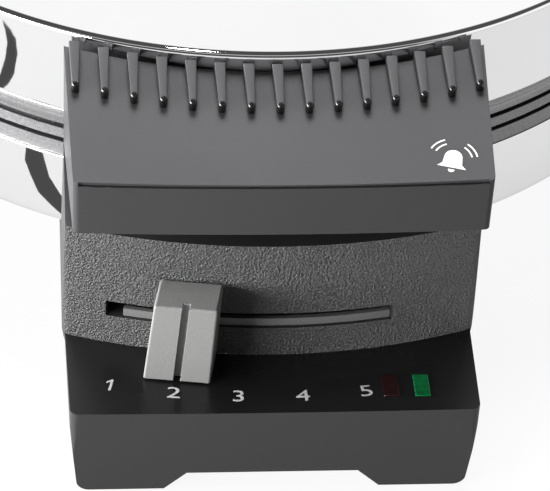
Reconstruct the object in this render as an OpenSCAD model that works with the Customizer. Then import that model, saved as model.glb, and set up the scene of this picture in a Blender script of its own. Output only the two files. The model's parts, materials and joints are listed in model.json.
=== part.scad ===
// Round donut maker: a chrome drum with a hinged lid, two cast ring plates, a front control
// housing with a browning slider, and a rear housing that carries the hinge.
// +X is to the right, -Y to the front, +Z up. The origin is under the middle of the whole object.

/* [Drum] */
// Outside radius of the chrome body and of the lid
drum_r = 115; // [112:0.5:120]
// Height of the drum's underside above the table
drum_lift = 33; // [31:0.5:36]
// Height of the lower chrome bowl
bowl_h = 20.6; // [20:0.2:24]
// Wall of both chrome pressings
sheet_t = 1; // [0.8:0.1:1.2]
// Radius of the bowl's bottom edge
bowl_edge_r = 2.4; // [1.5:0.1:4]
// Radius of the round service opening in the bowl's floor
service_r = 58; // [45:1:64]
// Height of the lid's chrome wall up to its rim
lid_wall_h = 21.6; // [19:0.2:26]
// Radius of the lid's rim edge
rim_r = 1.5; // [1:0.1:2.5]
// Rise of the domed lid above its rim
dome_h = 4.7; // [3:0.1:9]

/* [Plates] */
// Height of the lower plate's visible edge
lower_edge_h = 3.9; // [3:0.1:5]
// Gap between the two closed plates
parting_gap = 1.3; // [1:0.1:2]
// Height of the upper plate's visible edge
upper_edge_h = 2.7; // [2.4:0.1:4]
// Height of the groove over the upper plate
groove_h = 1.4; // [1:0.1:2]
// Height of the matt trim ring under the lid's wall
trim_h = 4.3; // [3.5:0.1:6]
// Half the flat between two neighbouring donuts
ring_land = 4; // [3:0.5:5]
// Flat between the outer donuts and the drum's wall
plate_margin = 14; // [12:0.5:16]
// Radius of the round groove that shapes a donut
ring_groove_r = 11; // [10:0.2:11.4]
// Wall of the cast cups
cup_t = 2.2; // [1.8:0.1:2.4]
// Radius of the plates' fixing pillars
pillar_r = 4; // [3.5:0.1:4.5]

/* [Heating] */
// Radius of the tubular element
element_r = 3.2; // [2.8:0.1:3.4]
// Gap in the element's ring at the back, in degrees
element_gap = 24; // [16:1:40]
// Thickness of the reflectors
reflector_t = 0.5; // [0.4:0.1:0.6]
// Radius of the thermostat's body
thermostat_r = 12; // [10:0.5:13]
// Radius of the thermostat's spindle
spindle_r = 3; // [2.5:0.1:4]

/* [Front housing] */
// Depth of the housing from the drum's wall to its toe
toe_depth = 47.4; // [45:0.2:53]
// Half width of the housing
housing_w = 48.1; // [46:0.1:50]
// Half width at the toe
toe_w = 46.7; // [44:0.1:48]
// Height of the number ledge
ledge_z = 24.9; // [22:0.1:27]
// Distance of the curved slider panel in front of the drum's wall
panel_depth = 27.8; // [25:0.2:31]
// Wall of the moulded housings
housing_t = 2.2; // [1.8:0.1:2.6]
// Height of the arch between the feet
arch_h = 5.2; // [4.5:0.1:7]
// Half width of the arch at the table
arch_w = 25; // [20:0.5:30]
// Radius of the housings' edges
housing_edge = 0.8; // [0.4:0.1:1.5]

/* [Browning slider] */
// Angle of the slider at rest, clockwise from the left of the front
slider_a = -8; // [-10:0.5:-6]
// Width of the knob at its top
knob_w = 13.9; // [12:0.1:18]
// Width that the knob gains down to its foot
knob_flare = 1; // [0:0.1:2]
// Lean of the knob's sides, in degrees
knob_lean = 4; // [0:0.5:8]
// Lean of the knob's face back from its foot, in degrees
knob_slope = 2.5; // [0:0.5:5]
// How far the knob's face sits to the left of its back
knob_skew = 0.5; // [0:0.1:1]
// Height of the knob
knob_h = 21.4; // [18:0.2:26]
// Depth of the knob in front of the panel
knob_d = 10.6; // [8:0.2:13]
// Width of the groove down the knob
knob_groove = 1.6; // [1:0.1:3]
// Depth of the groove down the knob
knob_groove_d = 1.9; // [1:0.1:3]
// Thickness of the steel arm
arm_t = 1.2; // [1:0.1:1.4]
// Width of the arm's tongue in the slot
tongue_w = 6; // [4:0.5:8]
// Height of the slot
slot_h = 4.4; // [3.6:0.1:5]
// Left end of the slot
slot_a0 = -15.5; // [-16:0.1:-14.5]
// Right end of the slot
slot_a1 = 11.2; // [10:0.1:14]

/* [Lamps] */
// Width of a lamp's lens
lens_w = 3.6; // [3:0.1:5]
// Length of a lamp's lens
lens_l = 7.2; // [5:0.1:8]
// Left edge of the red lens
lens_x = 24.9; // [23:0.1:26]
// Distance between the two lenses
lens_pitch = 7.2; // [6.5:0.1:8]
// Distance of the lenses behind the toe
lens_back = 4.9; // [4:0.1:7]

/* [Handle] */
// Depth of the handle from the drum's wall to its front edge
handle_depth = 32.8; // [30:0.2:39]
// Half width of the handle
handle_w = 47.8; // [45:0.1:50]
// Height of the handle's top where it meets the drum
handle_z = 85.8; // [84:0.1:87]
// Slope of the handle's top
handle_slope = 12; // [8:0.5:15]
// Height of the handle's front face
handle_face_h = 13.6; // [11:0.2:16]
// Wall of the handle
handle_t = 2.4; // [2:0.1:3]
// Bow radius of the handle's front edge
handle_bow_r = 800; // [400:10:1200]
// Radius of the handle's edges
handle_edge = 0.8; // [0.4:0.1:1.5]
// How much narrower the handle is at its front, on each side
handle_taper = 1.4; // [0.5:0.1:2]
// Radius of the handle's rear edge, which is flatter than the drum
handle_rear_r = 150; // [130:5:200]
// How far the handle sits to the right of the drum's middle
handle_shift = 0.5; // [0:0.1:0.6]
// Height of the shadow line under the handle's front edge
shadow_line = 0.4; // [0.2:0.1:0.8]
// Number of heat-guard fins
fin_n = 15; // [11:1:17]
// Distance between fins at their tips
fin_pitch = 6.49; // [5:0.01:6.6]
// Height of a fin above the handle
fin_h = 3.2; // [2:0.1:4]
// Distance of the middle fin's tip in front of the drum's wall
fin_depth = 12.6; // [10:0.2:17]
// Radius of the curve through the fins' tips
fin_bow_r = 175; // [150:5:220]

/* [Hinge] */
// Distance of the hinge axis behind the drum's wall
hinge_depth = 9; // [8:0.5:13]
// Radius of the hinge knuckles
knuckle_r = 7; // [6:0.1:7.4]
// Radius of the hinge pin
pin_r = 2.5; // [2:0.1:3]
// Half width of the lid's knuckle
knuckle_w = 26.7; // [20:0.1:32]
// Thickness of the base's hinge ears
ear_t = 8; // [6:0.5:10]
// Depth of the rear housing from the drum's wall to its back
rear_depth = 25; // [21:0.5:33]
// Radius of the cord inlet's hole
cord_r = 3.5; // [3:0.1:4.5]

/* [Hidden] */
$fn = 96;

fit = 0.05;                 // running clearance on a radius
seat = 0.2;                 // clearance where one piece rests against another
over = 1;                   // how far a cut runs past the face it opens

// Screws [head radius, head height, shank radius], their pilot and clearance bores
plate_screw = [3, 1.6, 1.45];
body_screw = [3.2, 1.8, 1.25];
small_screw = [2.6, 1.2, 1.2];
hatch_screw = [2.8, 1.1, 1.25];
pilot_r = 1.3;
clear_r = 1.8;
head_clear_r = 4;
small_clear_r = 1.6;
boss_r = 3.2;
boss_h = 7;

// Housings
toe_corner_r = 2;
toe_bow_r = 3000;
toe_lean = 1.5;             // the toe's face leans out by this much up to the ledge
panel_corner_r = 2.2;
rear_corner_r = 4;
rear_bow_r = 420;
rear_edge_r = 6;
housing_inner = 2 * drum_r / 3; // a cut plane past the inner ends of both housings
board_w = 36;
board_d = 18;
board_t = 1.6;
hatch_w = 19;               // half width of the openings under the housings
hatch_t = 2;
hatch_screw_inset = 12.4;
foot_x = 35;
foot_pad_r = 7;
foot_pad_h = 1.8;
service_screw_r = service_r + 3;
service_screw_a = [60, 180, 300];
cover_t = 0.8;              // thickness of the service cover

// Reaches from the drum's axis
toe_reach = drum_r + toe_depth;
panel_r = drum_r + panel_depth;
lens_reach = toe_reach - lens_back;
handle_reach = drum_r + handle_depth;
hinge_y = drum_r + hinge_depth;
rear_reach = drum_r + rear_depth;
saddle_reach = drum_r - 23; // inner ends of both housings, under the drum
saddle_screw_x = 30;
saddle_screw_y = drum_r - 18;
axis_y = (toe_reach - rear_reach) / 2;

// Heights, from the table up
bowl_floor_z = drum_lift + sheet_t;
bowl_top_z = drum_lift + bowl_h;
lower_face_z = bowl_top_z + lower_edge_h;
upper_face_z = lower_face_z + parting_gap;
groove_z = upper_face_z + upper_edge_h;
trim_z = groove_z + groove_h;
lid_z = trim_z + trim_h;
rim_z = lid_z + lid_wall_h;
roof_z = rim_z + rim_r;
lid_top_z = roof_z + dome_h;

// Plates: seven donuts, one in the middle and six about it
ring_pitch = (drum_r - plate_margin + ring_land) * 2 / 3;
ring_mid_r = ring_pitch / 2 - ring_groove_r - ring_land;
plate_r = drum_r - 0.4;
cup_r = ring_groove_r + cup_t;
lip_h = 0.4;
lip_w = 1.4;
pillar_pitch_r = ring_pitch + ring_mid_r + ring_groove_r;
lower_cup_z = lower_face_z - cup_r;
upper_cup_z = upper_face_z + cup_r;
lower_element_z = lower_cup_z - seat - element_r;
upper_element_z = upper_cup_z + seat + element_r;
element_ring_r = ring_pitch + ring_mid_r - 2;

// Slider: the arm turns about the drum's axis, under the reflector
arm_z = lower_element_z - element_r - 0.3 - reflector_t - 0.3 - arm_t;
slot_z = arm_z + arm_t + 0.9 - slot_h;
guide_depth = 0.9;          // the guide strip's face behind the panel
guide_t = 1.1;
guide_top_z = arm_z - seat;
knob_back_r = panel_r + 0.3;
knob_z = ledge_z + 0.4;
knob_edge = 0.5;
guide_a0 = slot_a0 + 1.6;
board_z = ledge_z - housing_t - 9;

// Insets and drops of the slices whose hull rounds an edge of radius 1
edge_steps = [[0, 1], [0.29, 0.29], [1, 0]];
foot_r = 3;
hollow_z = arch_h + 3.2;    // floor of the hollows in both housings

// Handle and hinge
handle_front_z = handle_z - (handle_reach - drum_r) * tan(handle_slope);
handle_under_front_z = handle_front_z - handle_face_h;
handle_under_rear_z = upper_face_z + 0.9;
handle_rear_u = drum_r - 10; // where the underside would reach its rear height
under_slope = (handle_under_front_z - handle_under_rear_z) / (handle_reach - handle_rear_u);
underside_screw_x = 30;
underside_screw_u = handle_reach - 13.8;
hinge_z = upper_face_z + 4.2;
ear_gap = 0.3;
rear_top_z = lower_face_z - 3.5;
inlet_z = 24;
frame_z = upper_element_z + element_r + 1.2;

// Points on an arc about c, from angle a0 to a1 in n steps
function arc(c, r, a0, a1, n) =
    [for (i = [0:n]) c + r * [cos(a0 + (a1 - a0) * i / n), sin(a0 + (a1 - a0) * i / n)]];

// Plan of a body that faces the front: straight sides, rounded corners and a bowed front
function bow_plan(w, w_rear, rear, front, bow_r, corner_r) =
    let (bow_y = bow_r - front,
         cx = w - corner_r,
         cy = bow_y - sqrt(pow(bow_r - corner_r, 2) - cx * cx),
         phi = atan2(cy - bow_y, cx))
    concat([[w_rear, -rear]],
           arc([cx, cy], corner_r, 0, phi, 6),
           arc([0, bow_y], bow_r, phi, -180 - phi, 32),
           arc([-cx, cy], corner_r, -180 - phi, -180, 6),
           [[-w_rear, -rear]]);

module place() translate([0, axis_y, 0]) children();
module along_x(w) rotate([90, 0, 90]) translate([0, 0, -w]) linear_extrude(2 * w) children();
module along_y(y0, y1)
    translate([0, y1, 0]) rotate([90, 0, 0]) linear_extrude(y1 - y0) children();
module at_polar(r, a) rotate([0, 0, a]) translate([0, -r, 0]) children();
// A cross-head screw with its head under z = 0
module screw(size, len) let (head_r = size[0], head_h = size[1]) {
    translate([0, 0, -head_h]) difference() {
        cylinder(r = head_r, h = head_h, $fn = 32);
        for (a = [0, 90]) rotate([0, 0, a])
            translate([-head_r * 0.6, -0.35, -0.1]) cube([head_r * 1.2, 0.7, head_h * 0.5]);
    }
    cylinder(r = size[2], h = len, $fn = 24);
}
module bore(r, h) cylinder(r = r, h = h, $fn = 24);
module through(r, h) cylinder(r = r, h = h, center = true, $fn = 24);

// ---------------------------------------------------------------- plates
module ring_places() {
    children();
    for (i = [0:5]) rotate([0, 0, 60 * i]) translate([0, -ring_pitch, 0]) children();
}
module pillar_places() for (i = [0:5]) at_polar(pillar_pitch_r, 30 + 60 * i) children();
module half_ring(r) rotate_extrude() translate([ring_mid_r, 0]) intersection() {
    circle(r, $fn = 48);
    translate([-r, -r]) square([2 * r, r]);
}
// A casting with its face at z = 0 and its cups below
module ring_plate(edge_h, pillar_h) {
    difference() {
        union() {
            translate([0, 0, -edge_h]) cylinder(r = plate_r, h = edge_h, $fn = 180);
            ring_places() half_ring(cup_r);
            ring_places() difference() {
                cylinder(r = ring_mid_r + ring_groove_r + lip_w, h = lip_h);
                translate([0, 0, -0.1]) cylinder(r = ring_mid_r + ring_groove_r, h = 1);
            }
            pillar_places() translate([0, 0, -pillar_h]) cylinder(r = pillar_r, h = pillar_h - 1);
        }
        ring_places() half_ring(ring_groove_r);
        pillar_places() translate([0, 0, -pillar_h - 0.1]) cylinder(r = 1.5, h = 9, $fn = 24);
    }
}
module element_ring(z) translate([0, 0, z]) rotate([0, 0, 90 + element_gap / 2]) {
    rotate_extrude(angle = 360 - element_gap, $fn = 120)
        translate([element_ring_r, 0]) circle(element_r, $fn = 32);
}
module element_pins(z) for (s = [-1, 1])
    rotate([0, 0, s * element_gap / 2]) translate([0, element_ring_r, z])
        rotate([0, -90 * s, 0]) cylinder(r = 1.6, h = 7, $fn = 24);

module lower_plate() color("dimgray") place()
    translate([0, 0, lower_face_z]) ring_plate(lower_edge_h, lower_face_z - bowl_floor_z - seat);
module upper_plate() color("dimgray") place() translate([0, 0, upper_face_z]) mirror([0, 0, 1]) {
    ring_plate(upper_edge_h, frame_z - upper_face_z - seat);
    translate([0, 0, -upper_edge_h - groove_h]) difference() {
        cylinder(r = plate_r - 2, h = groove_h, $fn = 180);
        translate([0, 0, -0.1]) cylinder(r = plate_r - 7, h = groove_h + 0.2, $fn = 180);
    }
}
module lower_element() color("darkgray") place() {
    element_ring(lower_element_z);
    element_pins(lower_element_z);
}
module upper_element() color("darkgray") place() {
    element_ring(upper_element_z);
    element_pins(upper_element_z);
}
module lower_reflector() color("lightgray") place() {
    r = pillar_pitch_r - pillar_r - 2;
    z = arm_z + arm_t + 0.3;
    difference() {
        union() {
            translate([0, 0, z]) cylinder(r = r, h = 5);
            for (a = [60, 180, 300]) at_polar(75, a)
                translate([0, 0, bowl_floor_z]) cylinder(r = 3, h = z - bowl_floor_z + 0.2);
        }
        translate([0, 0, z + reflector_t]) cylinder(r = r - reflector_t, h = 9);
        translate([0, 0, z - 1]) cylinder(r = thermostat_r + 2, h = 9);
    }
}
module thermostat_bracket() color("silver") place() {
    z = lower_cup_z - seat - 1;
    difference() {
        translate([0, 0, z]) cylinder(r = ring_mid_r + 4, h = 1);
        for (a = [0, 180]) at_polar(16, a) translate([0, 0, z - over]) bore(small_clear_r, 3);
    }
}
module thermostat() color("ivory") place() {
    top = lower_cup_z - seat - 1;
    bottom = arm_z + arm_t + 0.3;
    difference() {
        union() {
            translate([0, 0, bottom]) cylinder(r = thermostat_r, h = top - bottom);
            for (s = [-1, 1])
                translate([s * (thermostat_r + 1) - 3, 2, top - 2.4]) cube([6, 4, 0.8]);
        }
        translate([0, 0, bottom - 1]) cylinder(r = spindle_r + fit, h = top - bottom, $fn = 48);
    }
}

// ---------------------------------------------------------------- chrome drum
module lower_shell() color("gainsboro") place() difference() {
    rotate_extrude($fn = 180) polygon(concat(
        [[service_r, drum_lift]],
        arc([drum_r - bowl_edge_r, drum_lift + bowl_edge_r], bowl_edge_r, -90, 0, 8),
        [[drum_r, bowl_top_z], [drum_r - sheet_t, bowl_top_z]],
        arc([drum_r - bowl_edge_r, drum_lift + bowl_edge_r], bowl_edge_r - sheet_t, 0, -90, 8),
        [[service_r, bowl_floor_z]]));
    // window for the slider's arm, hidden in the front housing
    slot_sector(drum_r - 9, drum_r + 5, arm_z - 0.8, arm_z + arm_t + 0.8,
                slot_a0 - 1.5, slot_a1 + 1.5);
    pillar_places() translate([0, 0, drum_lift - over]) bore(clear_r, 4);
    service_screw_places() translate([0, 0, drum_lift - over]) bore(1.25, 4);
    saddle_screw_places() translate([0, 0, drum_lift - over]) bore(1.5, 4);
}
module service_screw_places() for (a = service_screw_a) at_polar(service_screw_r, a) children();
module service_cover() color("silver") place() translate([0, 0, drum_lift - cover_t]) difference() {
    cylinder(r = service_r + 6, h = cover_t);
    service_screw_places() translate([0, 0, -over]) bore(small_clear_r, 4);
    // vents
    for (i = [-4:4], y = [-42, 18]) translate([i * 7 - 1.5, y, -over]) cube([3, 24, 4]);
}
module lid_shell() color("gainsboro") place() difference() {
    dome_r = (pow(drum_r - rim_r, 2) + dome_h * dome_h) / (2 * dome_h);
    lean = asin((drum_r - rim_r) / dome_r);
    inner = drum_r - sheet_t;
    rotate_extrude($fn = 180) polygon(concat(
        [[drum_r, lid_z]],
        arc([drum_r - rim_r, rim_z], rim_r, 0, 90 - lean, 6),
        arc([0, lid_top_z - dome_r], dome_r, 90 - lean, 90, 16),
        arc([0, lid_top_z - dome_r], dome_r - sheet_t, 90, 90 - lean, 16),
        [[inner, rim_z], [inner, lid_z]]));
    for (x = [-1, 1]) {
        handle_screw_place(x) through(2, 12);
        cover_screw_place(x) through(2, 12);
    }
}
module trim_ring() color("silver") place() translate([0, 0, trim_z]) difference() {
    cylinder(r = drum_r - 0.2, h = trim_h, $fn = 180);
    translate([0, 0, -1]) cylinder(r = drum_r - 5, h = trim_h + 2, $fn = 180);
}
module lid_frame() color("lightgray") place() difference() {
    r = drum_r - sheet_t - 0.3;
    translate([0, 0, frame_z]) cylinder(r = r, h = 6);
    translate([0, 0, frame_z + 0.8]) cylinder(r = r - 0.8, h = 9);
    pillar_places() translate([0, 0, frame_z - over]) bore(clear_r, 4);
    for (i = [-3:3]) translate([i * 8 - 2, -50, frame_z - over]) cube([4, 30, 4]);
}
module thermal_fuse() color("white") place() translate([0, -30, frame_z - 2.6]) {
    rotate([0, 90, 0]) cylinder(r = 2.4, h = 22, center = true, $fn = 32);
    rotate([0, 90, 0]) cylinder(r = 0.6, h = 40, center = true, $fn = 16);
}

// ---------------------------------------------------------------- housings
// Front view of a housing up to top_z: feet with an arch between them, and flared sides
module housing_front_view(in, top_z) scale([(housing_w - in) / housing_w, 1, 1]) {
    side = concat([[arch_w, 0]],
                  arc([toe_w - toe_lean - foot_r, foot_r], foot_r, -90, -10, 6),
                  [[toe_w - 0.1, ledge_z - 6], [housing_w, ledge_z + 0.5],
                   [housing_w - 0.8, top_z]]);
    polygon(concat(side,
                   [for (i = [len(side) - 1:-1:0]) [-side[i][0], side[i][1]]],
                   [[-arch_w + arch_h, arch_h], [arch_w - arch_h, arch_h]]));
}
module toe_plan(in) polygon(concat(
    bow_plan(toe_w - in, housing_w - in, drum_r + 22, toe_reach - in, toe_bow_r, toe_corner_r),
    [[-housing_w + in, -saddle_reach - in], [housing_w - in, -saddle_reach - in]]));
module panel_plan(in) polygon(concat(
    bow_plan(housing_w - in, housing_w - in, drum_r - 5, panel_r - in, panel_r - in,
             panel_corner_r),
    [[-housing_w + in, -saddle_reach - in], [housing_w - in, -saddle_reach - in]]));
module drum_clear(z) translate([0, 0, z]) cylinder(r = drum_r + seat, h = 2 * lid_z, $fn = 180);
module housing_solid() intersection() {
    union() {
        hull() for (e = edge_steps * housing_edge)
            linear_extrude(ledge_z - e[1]) toe_plan(e[0]);
        hull() for (e = edge_steps * housing_edge)
            linear_extrude(lower_face_z - e[1]) panel_plan(e[0]);
    }
    along_y(-toe_reach - over, -housing_inner) housing_front_view(0, lower_face_z);
    along_x(housing_w + over) polygon([
        [-toe_reach + toe_lean, 0], [-toe_reach, ledge_z], [-toe_reach, lid_z],
        [-housing_inner, lid_z], [-housing_inner, 0]]);
}
module housing_hollow() intersection() {
    translate([0, 0, hollow_z]) union() {
        linear_extrude(ledge_z - housing_t - hollow_z) toe_plan(housing_t);
        linear_extrude(lower_face_z - housing_t - hollow_z) panel_plan(housing_t);
    }
    along_y(-toe_reach - over, -housing_inner) housing_front_view(housing_t, lower_face_z);
}
module slot_sector(r0, r1, z0, z1, a0, a1) translate([0, 0, z0]) rotate([0, 0, a0 - 90])
    rotate_extrude(angle = a1 - a0, $fn = 360) translate([r0, 0]) square([r1 - r0, z1 - z0]);
module front_hatch(in, z0, z1) translate([-hatch_w + in, -toe_reach + 8.4 + in, z0])
    cube([2 * (hatch_w - in), toe_reach - drum_r + 4.6 - 2 * in, z1 - z0]);
module rear_hatch(in, z0, z1) translate([-hatch_w + in, drum_r - 15 + in, z0])
    cube([2 * (hatch_w - in), rear_reach - drum_r + 7 - 2 * in, z1 - z0]);
module saddle_screw_places() for (x = [-1, 1] * saddle_screw_x, y = [-1, 1] * saddle_screw_y)
    translate([x, y, 0]) children();
module foot_places() for (x = [-foot_x, foot_x],
                          y = [-toe_reach + hatch_screw_inset, rear_reach - hatch_screw_inset + 0.4])
    translate([x, y, 0]) children();
module lens_places() for (i = [0, 1])
    translate([lens_x + i * lens_pitch, -lens_reach, 0]) children();
module hatch_hole() translate([0, 0, arch_h - over]) {
    bore(small_clear_r, 4);
    bore(hatch_screw[0] + seat, over + 1.2);
}
module hatch_bosses() cylinder(r = boss_r, h = boss_h, $fn = 32);
module front_hatch_screws() for (y = [-toe_reach + hatch_screw_inset, -drum_r + 9])
    translate([0, y, 0]) children();
module rear_hatch_screws() for (y = [drum_r - 11, rear_reach - hatch_screw_inset + 0.4])
    translate([0, y, 0]) children();
// Cuts that both housings share: saddle screws with their heads, and the feet's seats
module housing_cuts() {
    saddle_screw_places() translate([0, 0, -over]) {
        bore(clear_r, 60);
        cylinder(r = head_clear_r, h = drum_lift - housing_t + over, $fn = 32);
    }
    foot_places() translate([0, 0, -over])
        cylinder(r = foot_pad_r + seat, h = foot_pad_h + over, $fn = 48);
}

module front_housing() color([0.16, 0.16, 0.16]) place() difference() {
    union() {
        difference() {
            housing_solid();
            difference() {
                housing_hollow();
                drum_clear(drum_lift - housing_t);
            }
            drum_clear(drum_lift);
            front_hatch(0, -over, arch_h + hatch_t);
            front_hatch(2, -over, 20);
        }
        front_hatch_screws() translate([0, 0, arch_h + hatch_t]) hatch_bosses();
        for (x = [lens_x - 10, lens_x + 16])
            translate([x, -lens_reach + lens_l, board_z + board_t])
                cylinder(r = 1.8, h = ledge_z - housing_t - board_z - board_t + 0.2, $fn = 24);
    }
    // slider slot, and the rebate for its guide
    slot_sector(panel_r - 9, panel_r + 3, slot_z, slot_z + slot_h, slot_a0, slot_a1);
    slot_sector(panel_r - 9, panel_r - guide_depth + 0.1, slot_z - 2.1, slot_z + slot_h,
                guide_a0 - 0.1, slot_a1);
    // lamp windows
    lens_places() translate([-0.05, -0.05, ledge_z - 4]) cube([lens_w + 0.1, lens_l + 0.1, 6]);
    front_hatch_screws() translate([0, 0, arch_h]) bore(pilot_r, 8);
    housing_cuts();
}
module slot_guide() color("gray") place()
    slot_sector(panel_r - guide_depth - guide_t, panel_r - guide_depth, slot_z - 2, guide_top_z,
                guide_a0, slot_a1 - 0.1);
module front_base_plate() color([0.16, 0.16, 0.16]) place() difference() {
    front_hatch(seat, arch_h, arch_h + hatch_t);
    front_hatch_screws() hatch_hole();
    // vents
    for (i = [-2:2]) translate([i * 6 - 1, -drum_r - 25, arch_h - over]) cube([2, 20, 4]);
}
module lens() {
    translate([0, 0, ledge_z - housing_t]) cube([lens_w, lens_l, housing_t + 0.25]);
    translate([-1, -1, ledge_z - housing_t - 1]) cube([lens_w + 2, lens_l + 2, 1]);
}
module red_lens() color("firebrick") place() translate([lens_x, -lens_reach, 0]) lens();
module green_lens() color("forestgreen") place()
    translate([lens_x + lens_pitch, -lens_reach, 0]) lens();
module lamp_board() color("seagreen") place()
    translate([lens_x - board_w / 2, -lens_reach + 0.5, board_z]) cube([board_w, board_d, board_t]);
module indicator_lamps() color("white") place() lens_places()
    translate([lens_w / 2, lens_l / 2, board_z + board_t]) cylinder(r = 1.5, h = 6.1, $fn = 32);
module buzzer() color([0.1, 0.1, 0.1]) place()
    translate([lens_x - 11, -lens_reach + 9.5, board_z - 5]) difference() {
        cylinder(r = 6, h = 5, $fn = 48);
        translate([0, 0, -1]) cylinder(r = 1, h = 3, $fn = 24);
    }

// ---------------------------------------------------------------- rear housing
module rear_plan(in) polygon(concat(
    [for (p = bow_plan(housing_w - in, housing_w - in, drum_r - 5, rear_reach - in, rear_bow_r,
                       rear_corner_r)) [p[0], -p[1]]],
    [[-housing_w + in, saddle_reach + in], [housing_w - in, saddle_reach + in]]));
module rear_side_view(in) polygon(concat(
    [[housing_inner, 0], [rear_reach - toe_lean - in, 0], [rear_reach - in, 10]],
    arc([rear_reach - in - rear_edge_r, rear_top_z - in - rear_edge_r], rear_edge_r, 0, 90, 8),
    [[housing_inner, rear_top_z - in]]));
module rear_body(in) intersection() {
    translate([0, 0, in > 0 ? hollow_z : 0]) linear_extrude(lid_z) rear_plan(in);
    along_x(housing_w) rear_side_view(in);
    along_y(housing_inner, rear_reach + over) housing_front_view(in, rear_top_z);
}
module ear(s) translate([s * (knuckle_w + ear_gap + ear_t / 2), 0, 0]) along_x(ear_t / 2) {
    translate([hinge_y, hinge_z]) circle(knuckle_r, $fn = 48);
    translate([hinge_y - knuckle_r, rear_top_z - 3])
        square([2 * knuckle_r, hinge_z - rear_top_z + 3]);
}
module rear_housing() color([0.16, 0.16, 0.16]) place() difference() {
    union() {
        difference() {
            rear_body(0);
            difference() {
                rear_body(housing_t);
                drum_clear(drum_lift - housing_t);
            }
            drum_clear(drum_lift);
            rear_hatch(0, -over, arch_h + hatch_t);
            rear_hatch(2, -over, 20);
        }
        for (s = [-1, 1]) ear(s);
        rear_hatch_screws() translate([0, 0, arch_h + hatch_t]) hatch_bosses();
    }
    pin_bore();
    translate([0, rear_reach, inlet_z]) rotate([90, 0, 0])
        cylinder(r = cord_r + 3.1, h = 12, center = true, $fn = 48);
    rear_hatch_screws() translate([0, 0, arch_h]) bore(pilot_r, 8);
    housing_cuts();
}
module pin_bore() translate([0, hinge_y, hinge_z]) rotate([0, 90, 0])
    cylinder(r = pin_r + fit, h = 2 * drum_r, center = true, $fn = 48);
module cord_inlet() color([0.1, 0.1, 0.1]) place()
    translate([0, rear_reach, inlet_z]) rotate([90, 0, 0]) difference() {
        union() {
            cylinder(r = cord_r + 2.9, h = 6.4, $fn = 48);
            translate([0, 0, housing_t + 0.4]) cylinder(r = cord_r + 4.6, h = 1.6, $fn = 48);
        }
        translate([0, 0, -1]) cylinder(r = cord_r, h = 12, $fn = 48);
    }
module rear_base_plate() color([0.16, 0.16, 0.16]) place() difference() {
    rear_hatch(seat, arch_h, arch_h + hatch_t);
    rear_hatch_screws() hatch_hole();
}
module terminal_block() color("ivory") place()
    translate([-15, drum_r - 4, arch_h + hatch_t + seat]) difference() {
    cube([30, 12, 9]);
    for (i = [0:2]) translate([5 + 10 * i, 6, 4]) cylinder(r = 2, h = 9, $fn = 24);
    for (i = [0:2]) translate([5 + 10 * i, -1, 3]) rotate([-90, 0, 0])
        cylinder(r = 1.4, h = 20, $fn = 24);
}
module rubber_feet() color([0.06, 0.06, 0.06]) place()
    foot_places() cylinder(r = foot_pad_r, h = foot_pad_h, $fn = 48);

// ---------------------------------------------------------------- hinge and lid fittings
module hinge_pin() color("silver") place() translate([0, hinge_y, hinge_z]) rotate([0, 90, 0])
    cylinder(r = pin_r, h = 2 * (knuckle_w + ear_gap + ear_t + 2), center = true, $fn = 48);
module hinge_clips() color("gray") place() for (s = [-1, 1])
    translate([s * (knuckle_w + ear_gap + ear_t + seat + 0.5), hinge_y, hinge_z])
        rotate([0, 90, 0]) difference() {
            cylinder(r = pin_r + 2, h = 0.8, center = true, $fn = 32);
            cylinder(r = pin_r + 0.02, h = 2, center = true, $fn = 48);
            translate([0, -0.9, -1]) cube([9, 1.8, 2]);
        }
module hinge_cover() color([0.16, 0.16, 0.16]) place() difference() {
    along_x(knuckle_w) {
        translate([hinge_y, hinge_z]) circle(knuckle_r, $fn = 48);
        polygon([[drum_r - 15, handle_under_rear_z], [hinge_y, handle_under_rear_z],
                 [hinge_y + knuckle_r, hinge_z], [drum_r + 2, rim_z - 1.5],
                 [drum_r - 15, rim_z - 1.5]]);
    }
    drum_clear(0);
    pin_bore();
    for (x = [-1, 1]) cover_screw_place(x) through(pilot_r, 20);
}
// Screws through the lid's wall point straight out from its axis
module cover_screw_place(x)
    at_polar(drum_r, 180 + x * 8) translate([0, 0, lid_z + 8]) rotate([90, 0, 0]) children();
module handle_screw_place(x)
    at_polar(drum_r, x * 13) translate([0, 0, lid_z + 7]) rotate([90, 0, 0]) children();

module handle_plan(in) polygon(concat(
    bow_plan(handle_w - handle_taper - in, handle_w - in, drum_r - 11, handle_reach - in,
             handle_bow_r, panel_corner_r),
    [[-handle_w + in, -drum_r + 25], [handle_w - in, -drum_r + 25]]));
// Height of the handle's underside and of its top at a distance u in front of the drum's axis
function under_z(u) = handle_under_rear_z + (u - handle_rear_u) * under_slope;
function top_z(u) = handle_z - (u - drum_r) * tan(handle_slope);
module handle_side(drop) let (a = drum_r - 25, b = handle_reach + 12)
    along_x(handle_w + 2) polygon([
        [-a, top_z(a) - drop], [-b, top_z(b) - drop], [-b, under_z(b)], [-a, under_z(a)]]);
module handle_block(in) intersection() {
    linear_extrude(2 * lid_z) handle_plan(in);
    handle_side(in);
}
module handle_solid() difference() {
    hull() for (e = edge_steps * handle_edge) intersection() {
        linear_extrude(2 * lid_z) handle_plan(e[0]);
        handle_side(e[1]);
    }
    // shadow line along the front face
    translate([0, 0, handle_front_z - handle_edge - shadow_line - 0.1]) intersection() {
        linear_extrude(shadow_line) difference() {
            handle_plan(-over);
            handle_plan(0.35);
        }
        translate([-handle_w + 2.6, -handle_reach - 2, -over]) cube([2 * handle_w - 5.2, 6, 3]);
    }
}
module under_slab(t) let (a = drum_r - 25, b = handle_reach + 12)
    along_x(handle_w + 2) polygon([
        [-a, under_z(a) - 1], [-b, under_z(b) - 1], [-b, under_z(b) + t], [-a, under_z(a) + t]]);
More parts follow.
